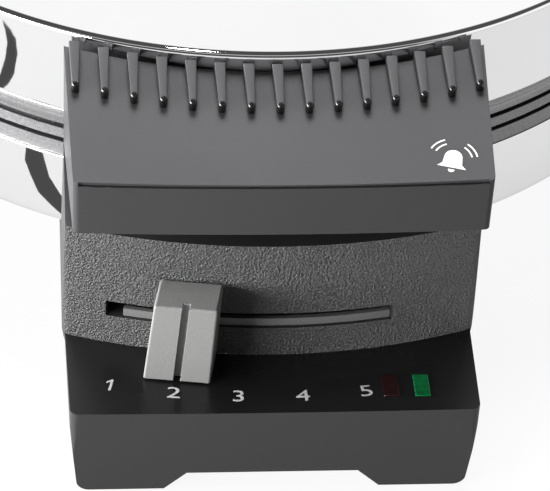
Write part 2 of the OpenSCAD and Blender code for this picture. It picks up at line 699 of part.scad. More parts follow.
// Cuts the handle's rear edge, gap in front of the drum's wall in the middle
module handle_rear(gap) translate([0, handle_rear_r - drum_r - gap, 0])
    cylinder(r = handle_rear_r, h = 3 * lid_z, $fn = 240);
// One fin, drawn flat with its foot on the handle's top and its tip at [x, y]
module fin(x, y) {
    rear = [x * 0.98, 4];
    polygon([rear + [-1.3, 0], rear + [1.3, 0], [x + 0.68, y], [x - 0.68, y]]);
}
module fins() translate([0, -drum_r, handle_z]) rotate([handle_slope, 0, 0])
    for (i = [0:fin_n - 1]) {
        x = (i - (fin_n - 1) / 2) * fin_pitch;
        bow = fin_bow_r - sqrt(fin_bow_r * fin_bow_r - x * x);
        y = (bow - fin_depth) / cos(handle_slope);
        translate([0, 0, -0.5]) linear_extrude(fin_h + 0.5) fin(x, y);
        translate([x, y, -0.5]) cylinder(r = 0.95, h = fin_h + 0.5, $fn = 24);
    }
module handle() color([0.2, 0.2, 0.2]) place() difference() {
    union() {
        translate([handle_shift, 0, 0]) difference() {
            handle_solid();
            difference() {
                handle_block(handle_t);
                handle_rear(3);
            }
            intersection() {
                linear_extrude(2 * lid_z) handle_plan(handle_t);
                under_slab(2);
            }
        }
        translate([handle_shift, 0, 0]) fins();
        for (x = [-1, 1]) underside_boss(x);
    }
    translate([handle_shift, 0, 0]) handle_rear(seat);
    drum_clear(0);
    for (x = [-1, 1]) {
        handle_screw_place(x) through(pilot_r, 16);
        underside_screw_place(x) bore(1.1, 9);
    }
}
module underside_screw_place(x)
    translate([x * underside_screw_x, -underside_screw_u, under_z(underside_screw_u)])
        rotate([-atan(under_slope), 0, 0]) children();
module underside_boss(x) underside_screw_place(x) translate([0, 0, 2.2])
    cylinder(r = 3, h = top_z(underside_screw_u) - under_z(underside_screw_u) - handle_t - 1.6,
             $fn = 32);
module handle_underside() color([0.16, 0.16, 0.16]) place() difference() {
    translate([handle_shift, 0, 0]) intersection() {
        handle_block(handle_t + seat);
        under_slab(2);
    }
    translate([handle_shift, 0, 0]) handle_rear(0.8);
    drum_clear(0);
    for (x = [-1, 1]) underside_screw_place(x) translate([0, 0, -3]) bore(1.5, 9);
}

// ---------------------------------------------------------------- slider
// Front view of the knob and of its groove, leaning and wider at the foot
module leaning(w_foot, w_top, h) let (s = tan(knob_lean) * knob_h / 2)
    polygon([[-w_foot / 2 - s, 0], [w_foot / 2 - s, 0], [w_top / 2 + s, h], [-w_top / 2 + s, h]]);
// A thin upright slice of the knob at a distance d in front of its back, tilted with its face
module knob_slice(in, d, tilt) translate([-knob_skew * d / knob_d, -knob_back_r - d, knob_z])
    rotate([90 + tilt, 0, 0]) linear_extrude(0.02) offset(delta = -in)
        leaning(knob_w + knob_flare, knob_w, knob_h);
module slider_knob() color("lightgray") place() rotate([0, 0, slider_a]) difference() {
    hull() {
        knob_slice(0, 0, 0);
        for (e = edge_steps * knob_edge) knob_slice(e[0], knob_d - e[1] - 0.02, -knob_slope);
    }
    translate([-knob_skew, -knob_back_r - knob_d, knob_z]) rotate([90 - knob_slope, 0, 0])
        translate([0, -over, -knob_groove_d]) linear_extrude(2 * knob_groove_d)
            leaning(knob_groove, knob_groove, knob_h + 2 * over);
    translate([-tongue_w / 2 - fit, -knob_back_r - 6.5, arm_z - fit])
        cube([tongue_w + 2 * fit, 20, arm_t + 2 * fit]);
}
module slider_arm() color("silver") place() rotate([0, 0, slider_a]) difference() {
    union() {
        translate([0, 0, arm_z]) cylinder(r = spindle_r + 5, h = arm_t);
        translate([-tongue_w / 2, -knob_back_r - 6, arm_z])
            cube([tongue_w, knob_back_r + 6, arm_t]);
    }
    translate([0, 0, arm_z - 1]) cylinder(r = spindle_r + 0.02, h = arm_t + 2, $fn = 48);
}
module thermostat_spindle() color("silver") place() rotate([0, 0, slider_a]) {
    translate([0, 0, arm_z]) cylinder(r = spindle_r, h = lower_cup_z - seat - 2.5 - arm_z, $fn = 48);
    translate([0, 0, arm_z - 1]) cylinder(r = spindle_r + 1.5, h = 1, $fn = 48);
}

// ---------------------------------------------------------------- fasteners
module lower_plate_screws() color("silver") place() pillar_places()
    translate([0, 0, drum_lift]) screw(plate_screw, 8);
module upper_plate_screws() color("silver") place() pillar_places()
    translate([0, 0, frame_z + 0.8]) mirror([0, 0, 1]) screw(plate_screw, 8);
module housing_screws() color("silver") place() saddle_screw_places()
    translate([0, 0, drum_lift - housing_t]) screw(plate_screw, 4);
module cover_screws() color("silver") place() {
    service_screw_places() translate([0, 0, drum_lift - cover_t]) screw(small_screw, 3);
    front_hatch_screws() translate([0, 0, arch_h + 1.2]) screw(hatch_screw, 5.5);
    rear_hatch_screws() translate([0, 0, arch_h + 1.2]) screw(hatch_screw, 5.5);
}
module handle_screws() color("silver") place() for (x = [-1, 1]) {
    handle_screw_place(x) translate([0, 0, -sheet_t - 0.2]) screw(body_screw, 8);
    underside_screw_place(x) screw([2.6, 1.2, 1.05], 8);
}
module hinge_cover_screws() color("silver") place() for (x = [-1, 1])
    cover_screw_place(x) translate([0, 0, -sheet_t - 0.2]) screw(body_screw, 8);

front_housing();
front_base_plate();
slot_guide();
red_lens();
green_lens();
lamp_board();
indicator_lamps();
buzzer();
rear_housing();
rear_base_plate();
terminal_block();
cord_inlet();
lower_shell();
service_cover();
lower_plate();
lower_element();
lower_reflector();
thermostat();
thermostat_bracket();
rubber_feet();
hinge_pin();
hinge_clips();
lower_plate_screws();
housing_screws();
cover_screws();
slider_knob();
slider_arm();
thermostat_spindle();
lid_shell();
trim_ring();
upper_plate();
upper_element();
lid_frame();
thermal_fuse();
handle();
handle_underside();
hinge_cover();
handle_screws();
hinge_cover_screws();
upper_plate_screws();
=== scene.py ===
"""A round donut maker: chrome drum and lid, moulded housings, a finned handle and a browning
slider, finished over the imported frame. Sizes are in millimetres about the drum's axis."""
import json
import math
import bmesh
import bpy
from mathutils import Matrix, Vector


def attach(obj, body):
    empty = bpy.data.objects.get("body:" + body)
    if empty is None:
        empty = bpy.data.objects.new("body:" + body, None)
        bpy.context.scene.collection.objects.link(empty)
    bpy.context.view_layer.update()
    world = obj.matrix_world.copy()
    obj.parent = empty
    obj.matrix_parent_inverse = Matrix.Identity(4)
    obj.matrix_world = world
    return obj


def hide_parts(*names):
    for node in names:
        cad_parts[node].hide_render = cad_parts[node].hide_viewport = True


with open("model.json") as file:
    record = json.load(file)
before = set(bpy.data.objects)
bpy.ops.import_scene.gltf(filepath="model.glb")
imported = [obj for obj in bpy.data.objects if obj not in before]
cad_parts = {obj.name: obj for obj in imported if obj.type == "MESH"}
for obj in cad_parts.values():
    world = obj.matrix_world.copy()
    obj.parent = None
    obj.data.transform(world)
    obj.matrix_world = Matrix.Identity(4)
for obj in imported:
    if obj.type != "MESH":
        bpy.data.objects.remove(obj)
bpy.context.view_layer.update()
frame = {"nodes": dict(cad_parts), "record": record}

MM = 0.001
AXIS_Y = 11.2            # the drum's axis, behind the middle of the object

# Drum
DRUM_R, SHEET = 115.0, 1.0
BOWL_Z, BOWL_TOP, BOWL_EDGE, SERVICE_R = 33.0, 53.6, 2.4, 58.0
LOWER_FACE, UPPER_FACE = 57.5, 58.8
TRIM_Z, LID_Z, LID_RIM_Z, LID_TOP = 62.9, 67.2, 88.8, 95.0
RIM_R, LID_FOOT_R, BOWL_LIP_R = 1.5, 0.5, 0.4
EDGE_LOOP = 0.3          # from an edge to the points that keep the flat wall's shading even
TRIM_IN, TRIM_DEPTH, TRIM_EDGE = 0.2, 5.0, 0.3
PLATE_R, BARE_RIM = 114.6, 0.35
ARM_Z, ARM_T, ARM_CLEAR, WINDOW_SPARE = 35.4, 1.2, 0.8, 1.5     # the last in degrees
SLOT_LEFT, SLOT_RIGHT = -15.5, 11.2

# Housing, handle and slider
LEDGE_Z, PANEL_R, TOE_REACH, HOUSING_W, TOE_W = 24.9, 142.8, 162.4, 48.1, 46.7
ARCH_H, ARCH_W, WALL, SADDLE = 5.2, 25.0, 2.2, 92.0
PANEL_CORNER, TOE_CORNER, TOE_BOW, TOE_LEAN, HOUSING_EDGE = 2.2, 2, 3000, 1.5, 0.7
HATCH_HALF_W, HATCH_FRONT, HATCH_REAR = 19, 8.4, 102
FOOT_X, FOOT_FRONT, FOOT_R, FOOT_DEPTH = 35, 12.4, 7.2, 1.8
SCREW_X, SCREW_REAR, SCREW_R, FIT = 30, 97, 4, 0.1
SLOT_Z, SLOT_H, GUIDE_DEPTH, GUIDE_LEFT = 33.1, 4.4, 0.9, -13.9
LENS_X, LENS_PITCH, LENS_REACH, LENS_W, LENS_L = 24.9, 7.2, 157.5, 3.6, 7.2
KNOB_W, KNOB_FLARE, KNOB_LEAN, KNOB_H, KNOB_Z, KNOB_D = 14.4, 1.0, 4.0, 21.4, 25.3, 10.6
KNOB_GROOVE, KNOB_GROOVE_D, KNOB_SLOPE, KNOB_SKEW, KNOB_SIDE = 1.6, 1.9, 2.5, 0.5, 0.35
KNOB_EDGE, KNOB_CLEAR, SLIDER_A = 0.55, 0.3, -8.0     # the slider's angle at rest, to the left
HANDLE_W, HANDLE_TAPER, HANDLE_SHIFT, HANDLE_REACH = 47.8, 1.4, 0.5, 147.8
HANDLE_Z, HANDLE_SLOPE, HANDLE_FACE, HANDLE_FOOT_R, HANDLE_FOOT_UP = 85.8, 12.0, 13.6, 105, 0.9
HANDLE_BOW, HANDLE_REAR_R, HANDLE_EDGE, HANDLE_FOOT_EDGE = 800.0, 150.0, 0.8, 1.7
HANDLE_CORNER, HANDLE_FRONT_EDGE, NEAR = 1.5, 0.3, 0.3
SHADOW_LINE, SHADOW_STEP, SHADOW_DEPTH, SHADOW_IN = 0.4, 0.4, 0.8, 2.6
DRUM_CLEAR = 0.2         # clearance of a moulding that lies against the drum's wall
FIN_COUNT, FIN_PITCH, FIN_HEIGHT, FIN_FRONT, FIN_BOW_R = 15, 6.49, 2.7, 126.8, 165.0
FIN_HALF_W, FIN_FOOT, FIN_EDGE = (0.74, 1.25), 0.5, 0.2      # half widths in front and behind
TIP_R, TIP_RISE, TIP_ROUND = 0.92, 0.15, 0.85
NUMBER_R, NUMBER_H, NUMBER_A0, NUMBER_STEP, NUMBER_STRETCH = 156.9, 3.7, -13.8, 5.37, 1.35


# ---------------- node helpers
MIX_FIRST, MIX_SECOND, MIX_COLOUR = 6, 7, 2     # the Mix node's sockets for colours


def linear(value):
    """A shade from 0 to 255 as the shader's linear value."""
    v = value / 255
    return v / 12.92 if v <= 0.04045 else ((v + 0.055) / 1.055) ** 2.4


def shade(r, g, b):
    return (linear(r), linear(g), linear(b), 1.0)


def grey(value, cool=1):
    """A grey whose blue is a little stronger, by cool steps."""
    return shade(value, value, value + cool)


def feed(tree, node, inputs):
    """Gives the node its inputs: a socket is linked and a value is set."""
    for key, value in inputs.items():
        socket = node.inputs[key]
        if isinstance(value, bpy.types.NodeSocket):
            tree.links.new(value, socket)
        else:
            socket.default_value = value


def add(tree, kind, inputs=None, **settings):
    """A node with its settings and inputs."""
    made = tree.nodes.new(kind)
    for key, value in settings.items():
        setattr(made, key, value)
    feed(tree, made, inputs or {})
    return made


def maths(tree, operation, *values):
    return add(tree, "ShaderNodeMath", dict(enumerate(values)), operation=operation).outputs[0]


def spread(tree, value, low, high, start=0.0, end=1.0):
    """value from start..end stretched to low..high."""
    return add(tree, "ShaderNodeMapRange", {"Value": value, "From Min": start, "From Max": end,
                                            "To Min": low, "To Max": high}).outputs["Result"]


def tint(tree, factor, first, second):
    """One colour blended into another, each a shade or a socket."""
    mix = add(tree, "ShaderNodeMix", {"Factor": factor}, data_type="RGBA")
    feed(tree, mix, {MIX_FIRST: first, MIX_SECOND: second})
    return mix.outputs[MIX_COLOUR]


def group_input(tree, label, kind, value=None):
    """A named input of a node group, with its standing value if it has one."""
    socket = tree.interface.new_socket(label, in_out="INPUT", socket_type="NodeSocket" + kind)
    if value is not None:
        socket.default_value = value


def shader_group(name, rate_label, rate, outputs):
    """An empty shader node group that takes a place and a rate, and gives floats."""
    tree = bpy.data.node_groups.new(name, "ShaderNodeTree")
    group_input(tree, "Vector", "Vector")
    group_input(tree, rate_label, "Float", rate)
    for label in outputs:
        tree.interface.new_socket(label, in_out="OUTPUT", socket_type="NodeSocketFloat")
    return tree, tree.nodes.new("NodeGroupInput").outputs, tree.nodes.new("NodeGroupOutput")


def make_spark_grain():
    """The pebbled texture of a spark-eroded mould: a height, and a mask of its pits."""
    tree, given, out = shader_group("spark_grain", "Cells per metre", 2600.0,
                                    ["Height", "Pits"])
    fine = add(tree, "ShaderNodeTexNoise", {"Vector": given[0], "Scale": given[1],
                                            "Detail": 3.0, "Roughness": 0.62})
    cells = add(tree, "ShaderNodeTexVoronoi",
                {"Vector": given[0], "Scale": maths(tree, "MULTIPLY", given[1], 0.8)},
                feature="SMOOTH_F1")
    height = maths(tree, "ADD", fine.outputs[0], maths(tree, "MULTIPLY", cells.outputs[0], 0.7))
    tree.links.new(height, out.inputs["Height"])
    tree.links.new(spread(tree, height, 0.0, 1.0, 0.45, 1.1), out.inputs["Pits"])
    return tree


def make_handling():
    """Soft cloudy marks of handling, from 0 clean to 1 rubbed."""
    tree, given, out = shader_group("handling", "Marks per metre", 28.0, ["Rubbed"])
    cloud = add(tree, "ShaderNodeTexNoise", {"Vector": given[0], "Scale": given[1],
                                             "Detail": 5.0, "Roughness": 0.58,
                                             "Distortion": 0.4})
    tree.links.new(spread(tree, cloud.outputs[0], 0.0, 1.0, 0.3, 0.7), out.inputs["Rubbed"])
    return tree


def make_turned_lines():
    """Fine lines left by turning about the drum's axis, with slow changes round the ring."""
    tree, given, out = shader_group("turned_lines", "Lines per metre", 2400.0,
                                    ["Lines", "Round"])
    part = add(tree, "ShaderNodeSeparateXYZ", {"Vector": given[0]}).outputs
    y = maths(tree, "SUBTRACT", part[1], AXIS_Y * MM)
    angle = maths(tree, "ARCTAN2", y, part[0])
    radius = maths(tree, "SQRT", maths(tree, "ADD", maths(tree, "MULTIPLY", part[0], part[0]),
                                       maths(tree, "MULTIPLY", y, y)))
    place = add(tree, "ShaderNodeCombineXYZ", {
        "X": maths(tree, "MULTIPLY", angle, 1.6),
        "Y": maths(tree, "MULTIPLY", radius, given[1]),
        "Z": maths(tree, "MULTIPLY", part[2], given[1])})
    lines = add(tree, "ShaderNodeTexNoise", {"Vector": place.outputs[0], "Scale": 1.0,
                                             "Detail": 2.0, "Roughness": 0.5})
    tree.links.new(lines.outputs[0], out.inputs["Lines"])
    tree.links.new(radius, out.inputs["Round"])
    return tree


SPARK_GRAIN, HANDLING, TURNED = make_spark_grain(), make_handling(), make_turned_lines()


def place_group(tree, group, vector, rate):
    made = add(tree, "ShaderNodeGroup")
    made.node_tree = group
    tree.links.new(vector, made.inputs[0])
    made.inputs[1].default_value = rate
    return made.outputs


def start_material(name):
    """A material with its Principled shader and the Object coordinates."""
    material = bpy.data.materials.new(name)
    material.use_nodes = True
    tree = material.node_tree
    shader = tree.nodes["Principled BSDF"]
    return material, tree, shader, add(tree, "ShaderNodeTexCoord").outputs["Object"]


def bump(tree, shader, height, depth, strength=1.0):
    """Height in 0..1 raised by depth millimetres."""
    made = add(tree, "ShaderNodeBump", {"Height": height, "Distance": depth * MM,
                                        "Strength": strength})
    tree.links.new(made.outputs[0], shader.inputs["Normal"])


# ---------------- materials
def moulded(name, dark, light, rough, cells, depth, gloss=0.5):
    """Moulded plastic: two shades through its grain, and a roughness that handling changes."""
    material, tree, shader, place = start_material(name)
    grain = place_group(tree, SPARK_GRAIN, place, cells)
    rubbed = place_group(tree, HANDLING, place, 28.0)["Rubbed"]
    blend = maths(tree, "ADD", maths(tree, "MULTIPLY", grain["Pits"], 0.75),
                  maths(tree, "MULTIPLY", rubbed, 0.25))
    feed(tree, shader, {"Base Color": tint(tree, blend, dark, light),
                        "Roughness": spread(tree, rubbed, rough + 0.05, rough - 0.05),
                        "Specular IOR Level": gloss})
    bump(tree, shader, grain["Height"], depth)
    return material


def chromed():
    """Polished chrome plate with faint wiping marks and an almost flat, slightly wavy sheet."""
    material, tree, shader, place = start_material("chrome_plate")
    rubbed = place_group(tree, HANDLING, place, 17.0)["Rubbed"]
    feed(tree, shader, {"Base Color": tint(tree, rubbed, grey(251, 0), grey(246)),
                        "Roughness": spread(tree, rubbed, 0.012, 0.045), "Metallic": 1.0})
    bump(tree, shader, rubbed, 0.05, 0.25)
    return material


def satin_metal(name, dark, light, rough, lines, depth):
    """Bare metal with fine turned lines and a mottled bead-blasted sparkle."""
    material, tree, shader, place = start_material(name)
    turned = place_group(tree, TURNED, place, lines)["Lines"]
    grain = place_group(tree, SPARK_GRAIN, place, 4200.0)["Height"]
    blend = maths(tree, "ADD", maths(tree, "MULTIPLY", turned, 0.5),
                  maths(tree, "MULTIPLY", grain, 0.45))
    feed(tree, shader, {
        "Base Color": tint(tree, spread(tree, blend, 0.0, 1.0, 0.4, 0.8), dark, light),
        "Roughness": spread(tree, grain, rough - 0.05, rough + 0.06, 0.3, 1.1),
        "Metallic": 1.0})
    bump(tree, shader, blend, depth)
    return material


def coated_casting():
    """Cast plate: a dark non-stick coat with mineral specks on the face, bare on its rim."""
    material, tree, shader, place = start_material("coated_casting")
    turned = place_group(tree, TURNED, place, 2600.0)
    grain = place_group(tree, SPARK_GRAIN, place, 3800.0)
    specks = add(tree, "ShaderNodeTexVoronoi", {"Vector": place, "Scale": 620.0})
    coat = tint(tree, maths(tree, "LESS_THAN", specks.outputs["Distance"], 0.16),
                tint(tree, grain["Pits"], grey(34), grey(50)), shade(92, 90, 88))
    bare = maths(tree, "GREATER_THAN", turned["Round"], (PLATE_R - BARE_RIM) * MM)
    metal = tint(tree, spread(tree, grain["Height"], 0.0, 1.0, 0.4, 1.0), grey(104), grey(150))
    feed(tree, shader, {"Base Color": tint(tree, bare, coat, metal), "Metallic": bare,
                        "Roughness": spread(tree, grain["Height"], 0.36, 0.5, 0.3, 1.1)})
    bump(tree, shader, grain["Height"], 0.05)
    return material


def sheet_metal(name, dark, light, rough, metallic=1.0):
    """Plain pressed or turned steel with cloudy zinc and light scratches."""
    material, tree, shader, place = start_material(name)
    cloud = place_group(tree, HANDLING, place, 90.0)["Rubbed"]
    scratch = add(tree, "ShaderNodeTexNoise", {
        "Vector": add(tree, "ShaderNodeMapping", {"Vector": place, "Scale": (60, 2600, 900)}
                      ).outputs[0], "Scale": 1.0, "Detail": 2.0}).outputs[0]
    feed(tree, shader, {"Base Color": tint(tree, cloud, dark, light), "Metallic": metallic,
                        "Roughness": spread(tree, scratch, rough - 0.08, rough + 0.1, 0.3, 0.7)})
    bump(tree, shader, scratch, 0.015)
    return material


def lens_material(name, deep, bright):
    """Tinted clear plastic over a small lamp, with ribs moulded in its underside."""
    material, tree, shader, place = start_material(name)
    ribs = add(tree, "ShaderNodeTexWave", {"Vector": place, "Scale": 160.0, "Distortion": 0.3},
               bands_direction="Y")
    cloud = place_group(tree, HANDLING, place, 700.0)["Rubbed"]
    blend = maths(tree, "MULTIPLY", spread(tree, ribs.outputs["Fac"], 0.7, 1.0),
                  spread(tree, cloud, 0.3, 1.0))
    feed(tree, shader, {"Base Color": tint(tree, blend, deep, bright),
                        "Roughness": spread(tree, cloud, 0.06, 0.12)})
    bump(tree, shader, cloud, 0.05)
    return material


def printed_ink():
    """Pad-printed pale ink that lets a little of the plastic through."""
    material, tree, shader, place = start_material("printed_ink")
    grain = place_group(tree, SPARK_GRAIN, place, 4200.0)
    feed(tree, shader, {"Base Color": tint(tree, grain["Pits"], grey(150, 0), grey(182, 0)),
                        "Roughness": spread(tree, grain["Height"], 0.5, 0.7, 0.3, 1.1)})
    bump(tree, shader, grain["Height"], 0.02)
    return material


def rubber():
    """Black rubber with a little dust on it."""
    material, tree, shader, place = start_material("foot_rubber")
    grain = place_group(tree, SPARK_GRAIN, place, 2200.0)
    dust = place_group(tree, HANDLING, place, 120.0)["Rubbed"]
    feed(tree, shader, {"Base Color": tint(tree, dust, grey(30, 0), shade(52, 51, 49)),
                        "Roughness": spread(tree, grain["Height"], 0.7, 0.9, 0.3, 1.1)})
    bump(tree, shader, grain["Height"], 0.06)
    return material


HOUSING = moulded("panel_texture", grey(32), grey(37), 0.5, 2400.0, 1.0, gloss=0.85)
# painted shade: the ledge is the housing's own plastic made far darker and glossier, the darkness
# standing in for the shade under the handle
LEDGE = moulded("ledge_gloss_painted_shade", grey(12), grey(17), 0.3, 3000.0, 0.01)
SATIN = moulded("housing_satin", grey(35), grey(40), 0.42, 2600.0, 0.02, gloss=0.38)
HANDLE = moulded("handle_satin", grey(47), grey(52), 0.42, 3400.0, 0.02, gloss=0.2)
# partly painted shade: the fins' glossy round tips are near black, far darker than the handle's
# plastic, for the shade on the fins' front ends
FIN_TIP = moulded("fin_tip_gloss_painted_shade", grey(10, 0), grey(14, 0), 0.12, 3600.0, 0.003)
KNOB = moulded("knob_satin", grey(104, -1), grey(112, -1), 0.42, 2600.0, 0.03)
# painted light: the strip in the slot is a lighter grey than the black plastic round it, standing
# in for the light that falls on it
GUIDE = moulded("guide_strip_painted_light", grey(80, 0), grey(96, 0), 0.4, 2600.0, 0.03)
BLACK = moulded("black_part", grey(26, 0), grey(38, 0), 0.4, 2400.0, 0.04)
CERAMIC = moulded("ceramic", shade(214, 210, 200), shade(232, 229, 221), 0.5, 1500.0, 0.03)
BOARD = moulded("circuit_board", shade(24, 74, 46), shade(44, 104, 66), 0.35, 900.0, 0.02)
CHROME = chromed()
TRIM = satin_metal("satin_trim", grey(116), grey(170), 0.36, 1500.0, 0.05)
CASTING = coated_casting()
BRIGHT = sheet_metal("bright_sheet", shade(196, 197, 199), shade(226, 226, 228), 0.24)
ZINC = sheet_metal("zinc_steel", shade(168, 170, 172), shade(206, 206, 204), 0.3)
ELEMENT = sheet_metal("element_steel", shade(86, 82, 78), shade(128, 122, 114), 0.42)
GLASS = sheet_metal("lamp_glass", shade(210, 214, 216), shade(238, 240, 241), 0.14, 0.0)
RED = lens_material("red_lens", shade(10, 3, 4), shade(40, 9, 12))
GREEN = lens_material("green_lens", shade(0, 56, 28), shade(2, 108, 54))
INK = printed_ink()
RUBBER = rubber()

# what each CAD node moves with
BODY_OF = {name: body for body, names in frame["record"]["behaviour"]["bodies"].items()
           for name in names}


# ---------------- mesh helpers
SMOOTH_ANGLE, EDGED_ANGLE, COPY_ANGLE = 35.0, 40.0, 32.0    # sharper edges stay sharp, degrees


def at(x, y, z):
    """A point given about the drum's axis in millimetres."""
    return Vector((x, y + AXIS_Y, z)) * MM


def about_axis(place):
    """A place in metres as millimetres about the drum's axis."""
    return place / MM - Vector((0, AXIS_Y, 0))


def smooth_by_angle(mesh, degrees):
    for face in mesh.polygons:
        face.use_smooth = True
    mesh.set_sharp_from_angle(angle=math.radians(degrees))


def link_object(name, data):
    obj = bpy.data.objects.new(name, data)
    bpy.context.scene.collection.objects.link(obj)
    return obj


def new_object(name, mesh, *materials):
    obj = link_object(name, mesh)
    mesh.materials.clear()
    for material in materials:
        mesh.materials.append(material)
    return obj


def from_bmesh(name, bm, *materials, degrees=SMOOTH_ANGLE, outward=True):
    if outward:
        bmesh.ops.recalc_face_normals(bm, faces=bm.faces)
    mesh = bpy.data.meshes.new(name)
    bm.to_mesh(mesh)
    bm.free()
    smooth_by_angle(mesh, degrees)
    return new_object(name, mesh, *materials)


def evaluated_mesh(obj):
    """The plain mesh that obj gives once its modifiers or its curves are worked out."""
    bpy.context.view_layer.update()
    seen = obj.evaluated_get(bpy.context.evaluated_depsgraph_get())
    return bpy.data.meshes.new_from_object(seen)


def work_in(obj):
    """obj's modifiers are worked into its mesh."""
    mesh = evaluated_mesh(obj)
    obj.modifiers.clear()
    obj.data = mesh


def apply_modifiers(obj, degrees=SMOOTH_ANGLE):
    """obj's modifiers are worked into its mesh, which is shaded smooth again."""
    work_in(obj)
    smooth_by_angle(obj.data, degrees)


def revolve(name, profile, material):
    """A closed profile of (radius, height) turned about the drum's axis."""
    steps = 360
    bm = bmesh.new()
    rings = []
    for r, z in profile:
        if r < 1e-6:
            rings.append([bm.verts.new(at(0, 0, z))])
        else:
            rings.append([bm.verts.new(at(r * math.cos(2 * math.pi * i / steps),
                                          r * math.sin(2 * math.pi * i / steps), z))
                          for i in range(steps)])
    for a, b in zip(rings, rings[1:] + rings[:1]):
        if len(a) == len(b) == 1:
            continue
        for i in range(steps):
            j = (i + 1) % steps
            corners = [a[i % len(a)], a[j % len(a)], b[j % len(b)], b[i % len(b)]]
            bm.faces.new([v for k, v in enumerate(corners) if v not in corners[:k]])
    return from_bmesh(name, bm, material)


def arc(cr, cz, r, a0, a1, n):
    """Points (radius, height) on an arc, in degrees."""
    turn = [math.radians(a0 + (a1 - a0) * i / n) for i in range(n + 1)]
    return [(cr + r * math.cos(a), cz + r * math.sin(a)) for a in turn]


def bow_outline(half_w, rear_w, rear, front, bow_r, corner_r, bow_steps=40):
    """Plan of a body that faces the front: straight sides, round corners, a bowed front."""
    bow_y = bow_r - front
    cx = half_w - corner_r
    cy = bow_y - math.sqrt((bow_r - corner_r) ** 2 - cx * cx)
    lean = math.degrees(math.atan2(cy - bow_y, cx))
    return ([(rear_w, -rear)] + arc(cx, cy, corner_r, 0, lean, 8)
            + arc(0, bow_y, bow_r, lean, -180 - lean, bow_steps)[1:-1]
            + arc(-cx, cy, corner_r, -180 - lean, -180, 8) + [(-rear_w, -rear)])


def ring_profile(r0, r1, z0, z1, edge):
    """The section of a flat ring whose corners have a small radius."""
    return (arc(r1 - edge, z0 + edge, edge, -90, 0, 4) + arc(r1 - edge, z1 - edge, edge, 0, 90, 4)
            + arc(r0 + edge, z1 - edge, edge, 90, 180, 4)
            + arc(r0 + edge, z0 + edge, edge, 180, 270, 4))


def push_out(bm, outline, lift, z0, z1):
    """Adds an outline pushed from z0 to z1; lift turns (u, v, w) into a point."""
    low = [bm.verts.new(lift(u, v, z0)) for u, v in outline]
    high = [bm.verts.new(lift(u, v, z1)) for u, v in outline]
    bm.faces.new(low)
    bm.faces.new(list(reversed(high)))
    for i in range(len(outline)):
        j = (i + 1) % len(outline)
        bm.faces.new([low[j], low[i], high[i], high[j]])


def prism(name, outline, lift, z0, z1, *materials):
    """One outline pushed from z0 to z1."""
    bm = bmesh.new()
    push_out(bm, outline, lift, z0, z1)
    return from_bmesh(name, bm, *materials)


def upright(u, v, w):
    return at(u, v, w)


def sideways(u, v, w):
    return at(w, u, v)


def facing(u, v, w):
    return at(u, w, v)


def sector(name, r0, r1, z0, z1, a0, a1):
    """A block between two radii and two angles, 0 at the front and positive to the right."""
    steps = 60
    turn = [math.radians(a0 + (a1 - a0) * i / steps) for i in range(steps + 1)]
    outline = ([(r1 * math.sin(a), -r1 * math.cos(a)) for a in turn]
               + [(r0 * math.sin(a), -r0 * math.cos(a)) for a in reversed(turn)])
    return prism(name, outline, upright, z0, z1, BLACK)


def box_cutter(name, x0, x1, y0, y1, z0, z1):
    return prism(name, [(x0, y0), (x1, y0), (x1, y1), (x0, y1)], upright, z0, z1, BLACK)


def round_cutter(name, x, y, r, z0, z1, steps=48):
    turn = [2 * math.pi * i / steps for i in range(steps)]
    return prism(name, [(x + r * math.cos(a), y + r * math.sin(a)) for a in turn],
                 upright, z0, z1, BLACK)


def drum_cutter(z0):
    return round_cutter("drum", 0, 0, DRUM_R + DRUM_CLEAR, z0, 120.0, 360)


def combine(obj, other, operation):
    """obj is cut by, joined to or kept only inside the other solid, which is used up."""
    step = obj.modifiers.new(operation, "BOOLEAN")
    step.operation, step.object, step.solver = operation, other, "EXACT"
    apply_modifiers(obj)
    bpy.data.objects.remove(other)


def even_shading(obj):
    """Flat faces shade flat and only the narrow rounded edges turn the light."""
    obj.modifiers.new("even", "WEIGHTED_NORMAL").keep_sharp = True
    work_in(obj)


def weigh_edges(obj, weight_of):
    """Gives each edge the bevel weight that weight_of(edge) returns."""
    bm = bmesh.new()
    bm.from_mesh(obj.data)
    layer = bm.edges.layers.float.new("bevel_weight_edge")
    for edge in bm.edges:
        edge[layer] = weight_of(edge)
    bm.to_mesh(obj.data)
    bm.free()


def bevel(obj, width, segments, method="ANGLE"):
    """A bevel of width millimetres on the edges that the method picks."""
    step = obj.modifiers.new("edge", "BEVEL")
    step.width, step.segments, step.limit_method = width * MM, segments, method
    return step


def soften(obj, width, segments=3, limit=COPY_ANGLE, share=None):
    """Rounds obj's sharp edges to a radius of width millimetres, or to the share of it that
    share(middle of the edge) gives."""
    step = bevel(obj, width, segments, "WEIGHT" if share else "ANGLE")
    step.angle_limit = math.radians(limit)
    step.use_clamp_overlap = True
    step.miter_outer = "MITER_ARC"

    def weight_of(edge):
        if edge.calc_face_angle(0.0) <= math.radians(limit):
            return 0.0
        return share(about_axis((edge.verts[0].co + edge.verts[1].co) / 2))

    if share:
        weigh_edges(obj, weight_of)
    apply_modifiers(obj, EDGED_ANGLE)
    even_shading(obj)


def keep(obj, node, instead=True):
    """obj rides with the node and stands for it unless it adds to it."""
    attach(obj, BODY_OF[node])
    if instead:
        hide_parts(node)


def finished_copy(node, material, edge):
    """A CAD node with its triangles merged, its edges softened and its curves shaded smooth."""
    bm = bmesh.new()
    bm.from_mesh(frame["nodes"][node].data)
    bmesh.ops.remove_doubles(bm, verts=bm.verts, dist=2e-6)
    bmesh.ops.dissolve_limit(bm, angle_limit=math.radians(0.4), verts=bm.verts,
                             edges=bm.edges)
    obj = from_bmesh(node + "_finished", bm, material, degrees=COPY_ANGLE, outward=False)
    if edge:
        soften(obj, edge, 2)
    keep(obj, node)


def repaint(node, material):
    """A CAD node that keeps its mesh and gets its finish."""
    mesh = frame["nodes"][node].data
    mesh.materials.clear()
    mesh.materials.append(material)


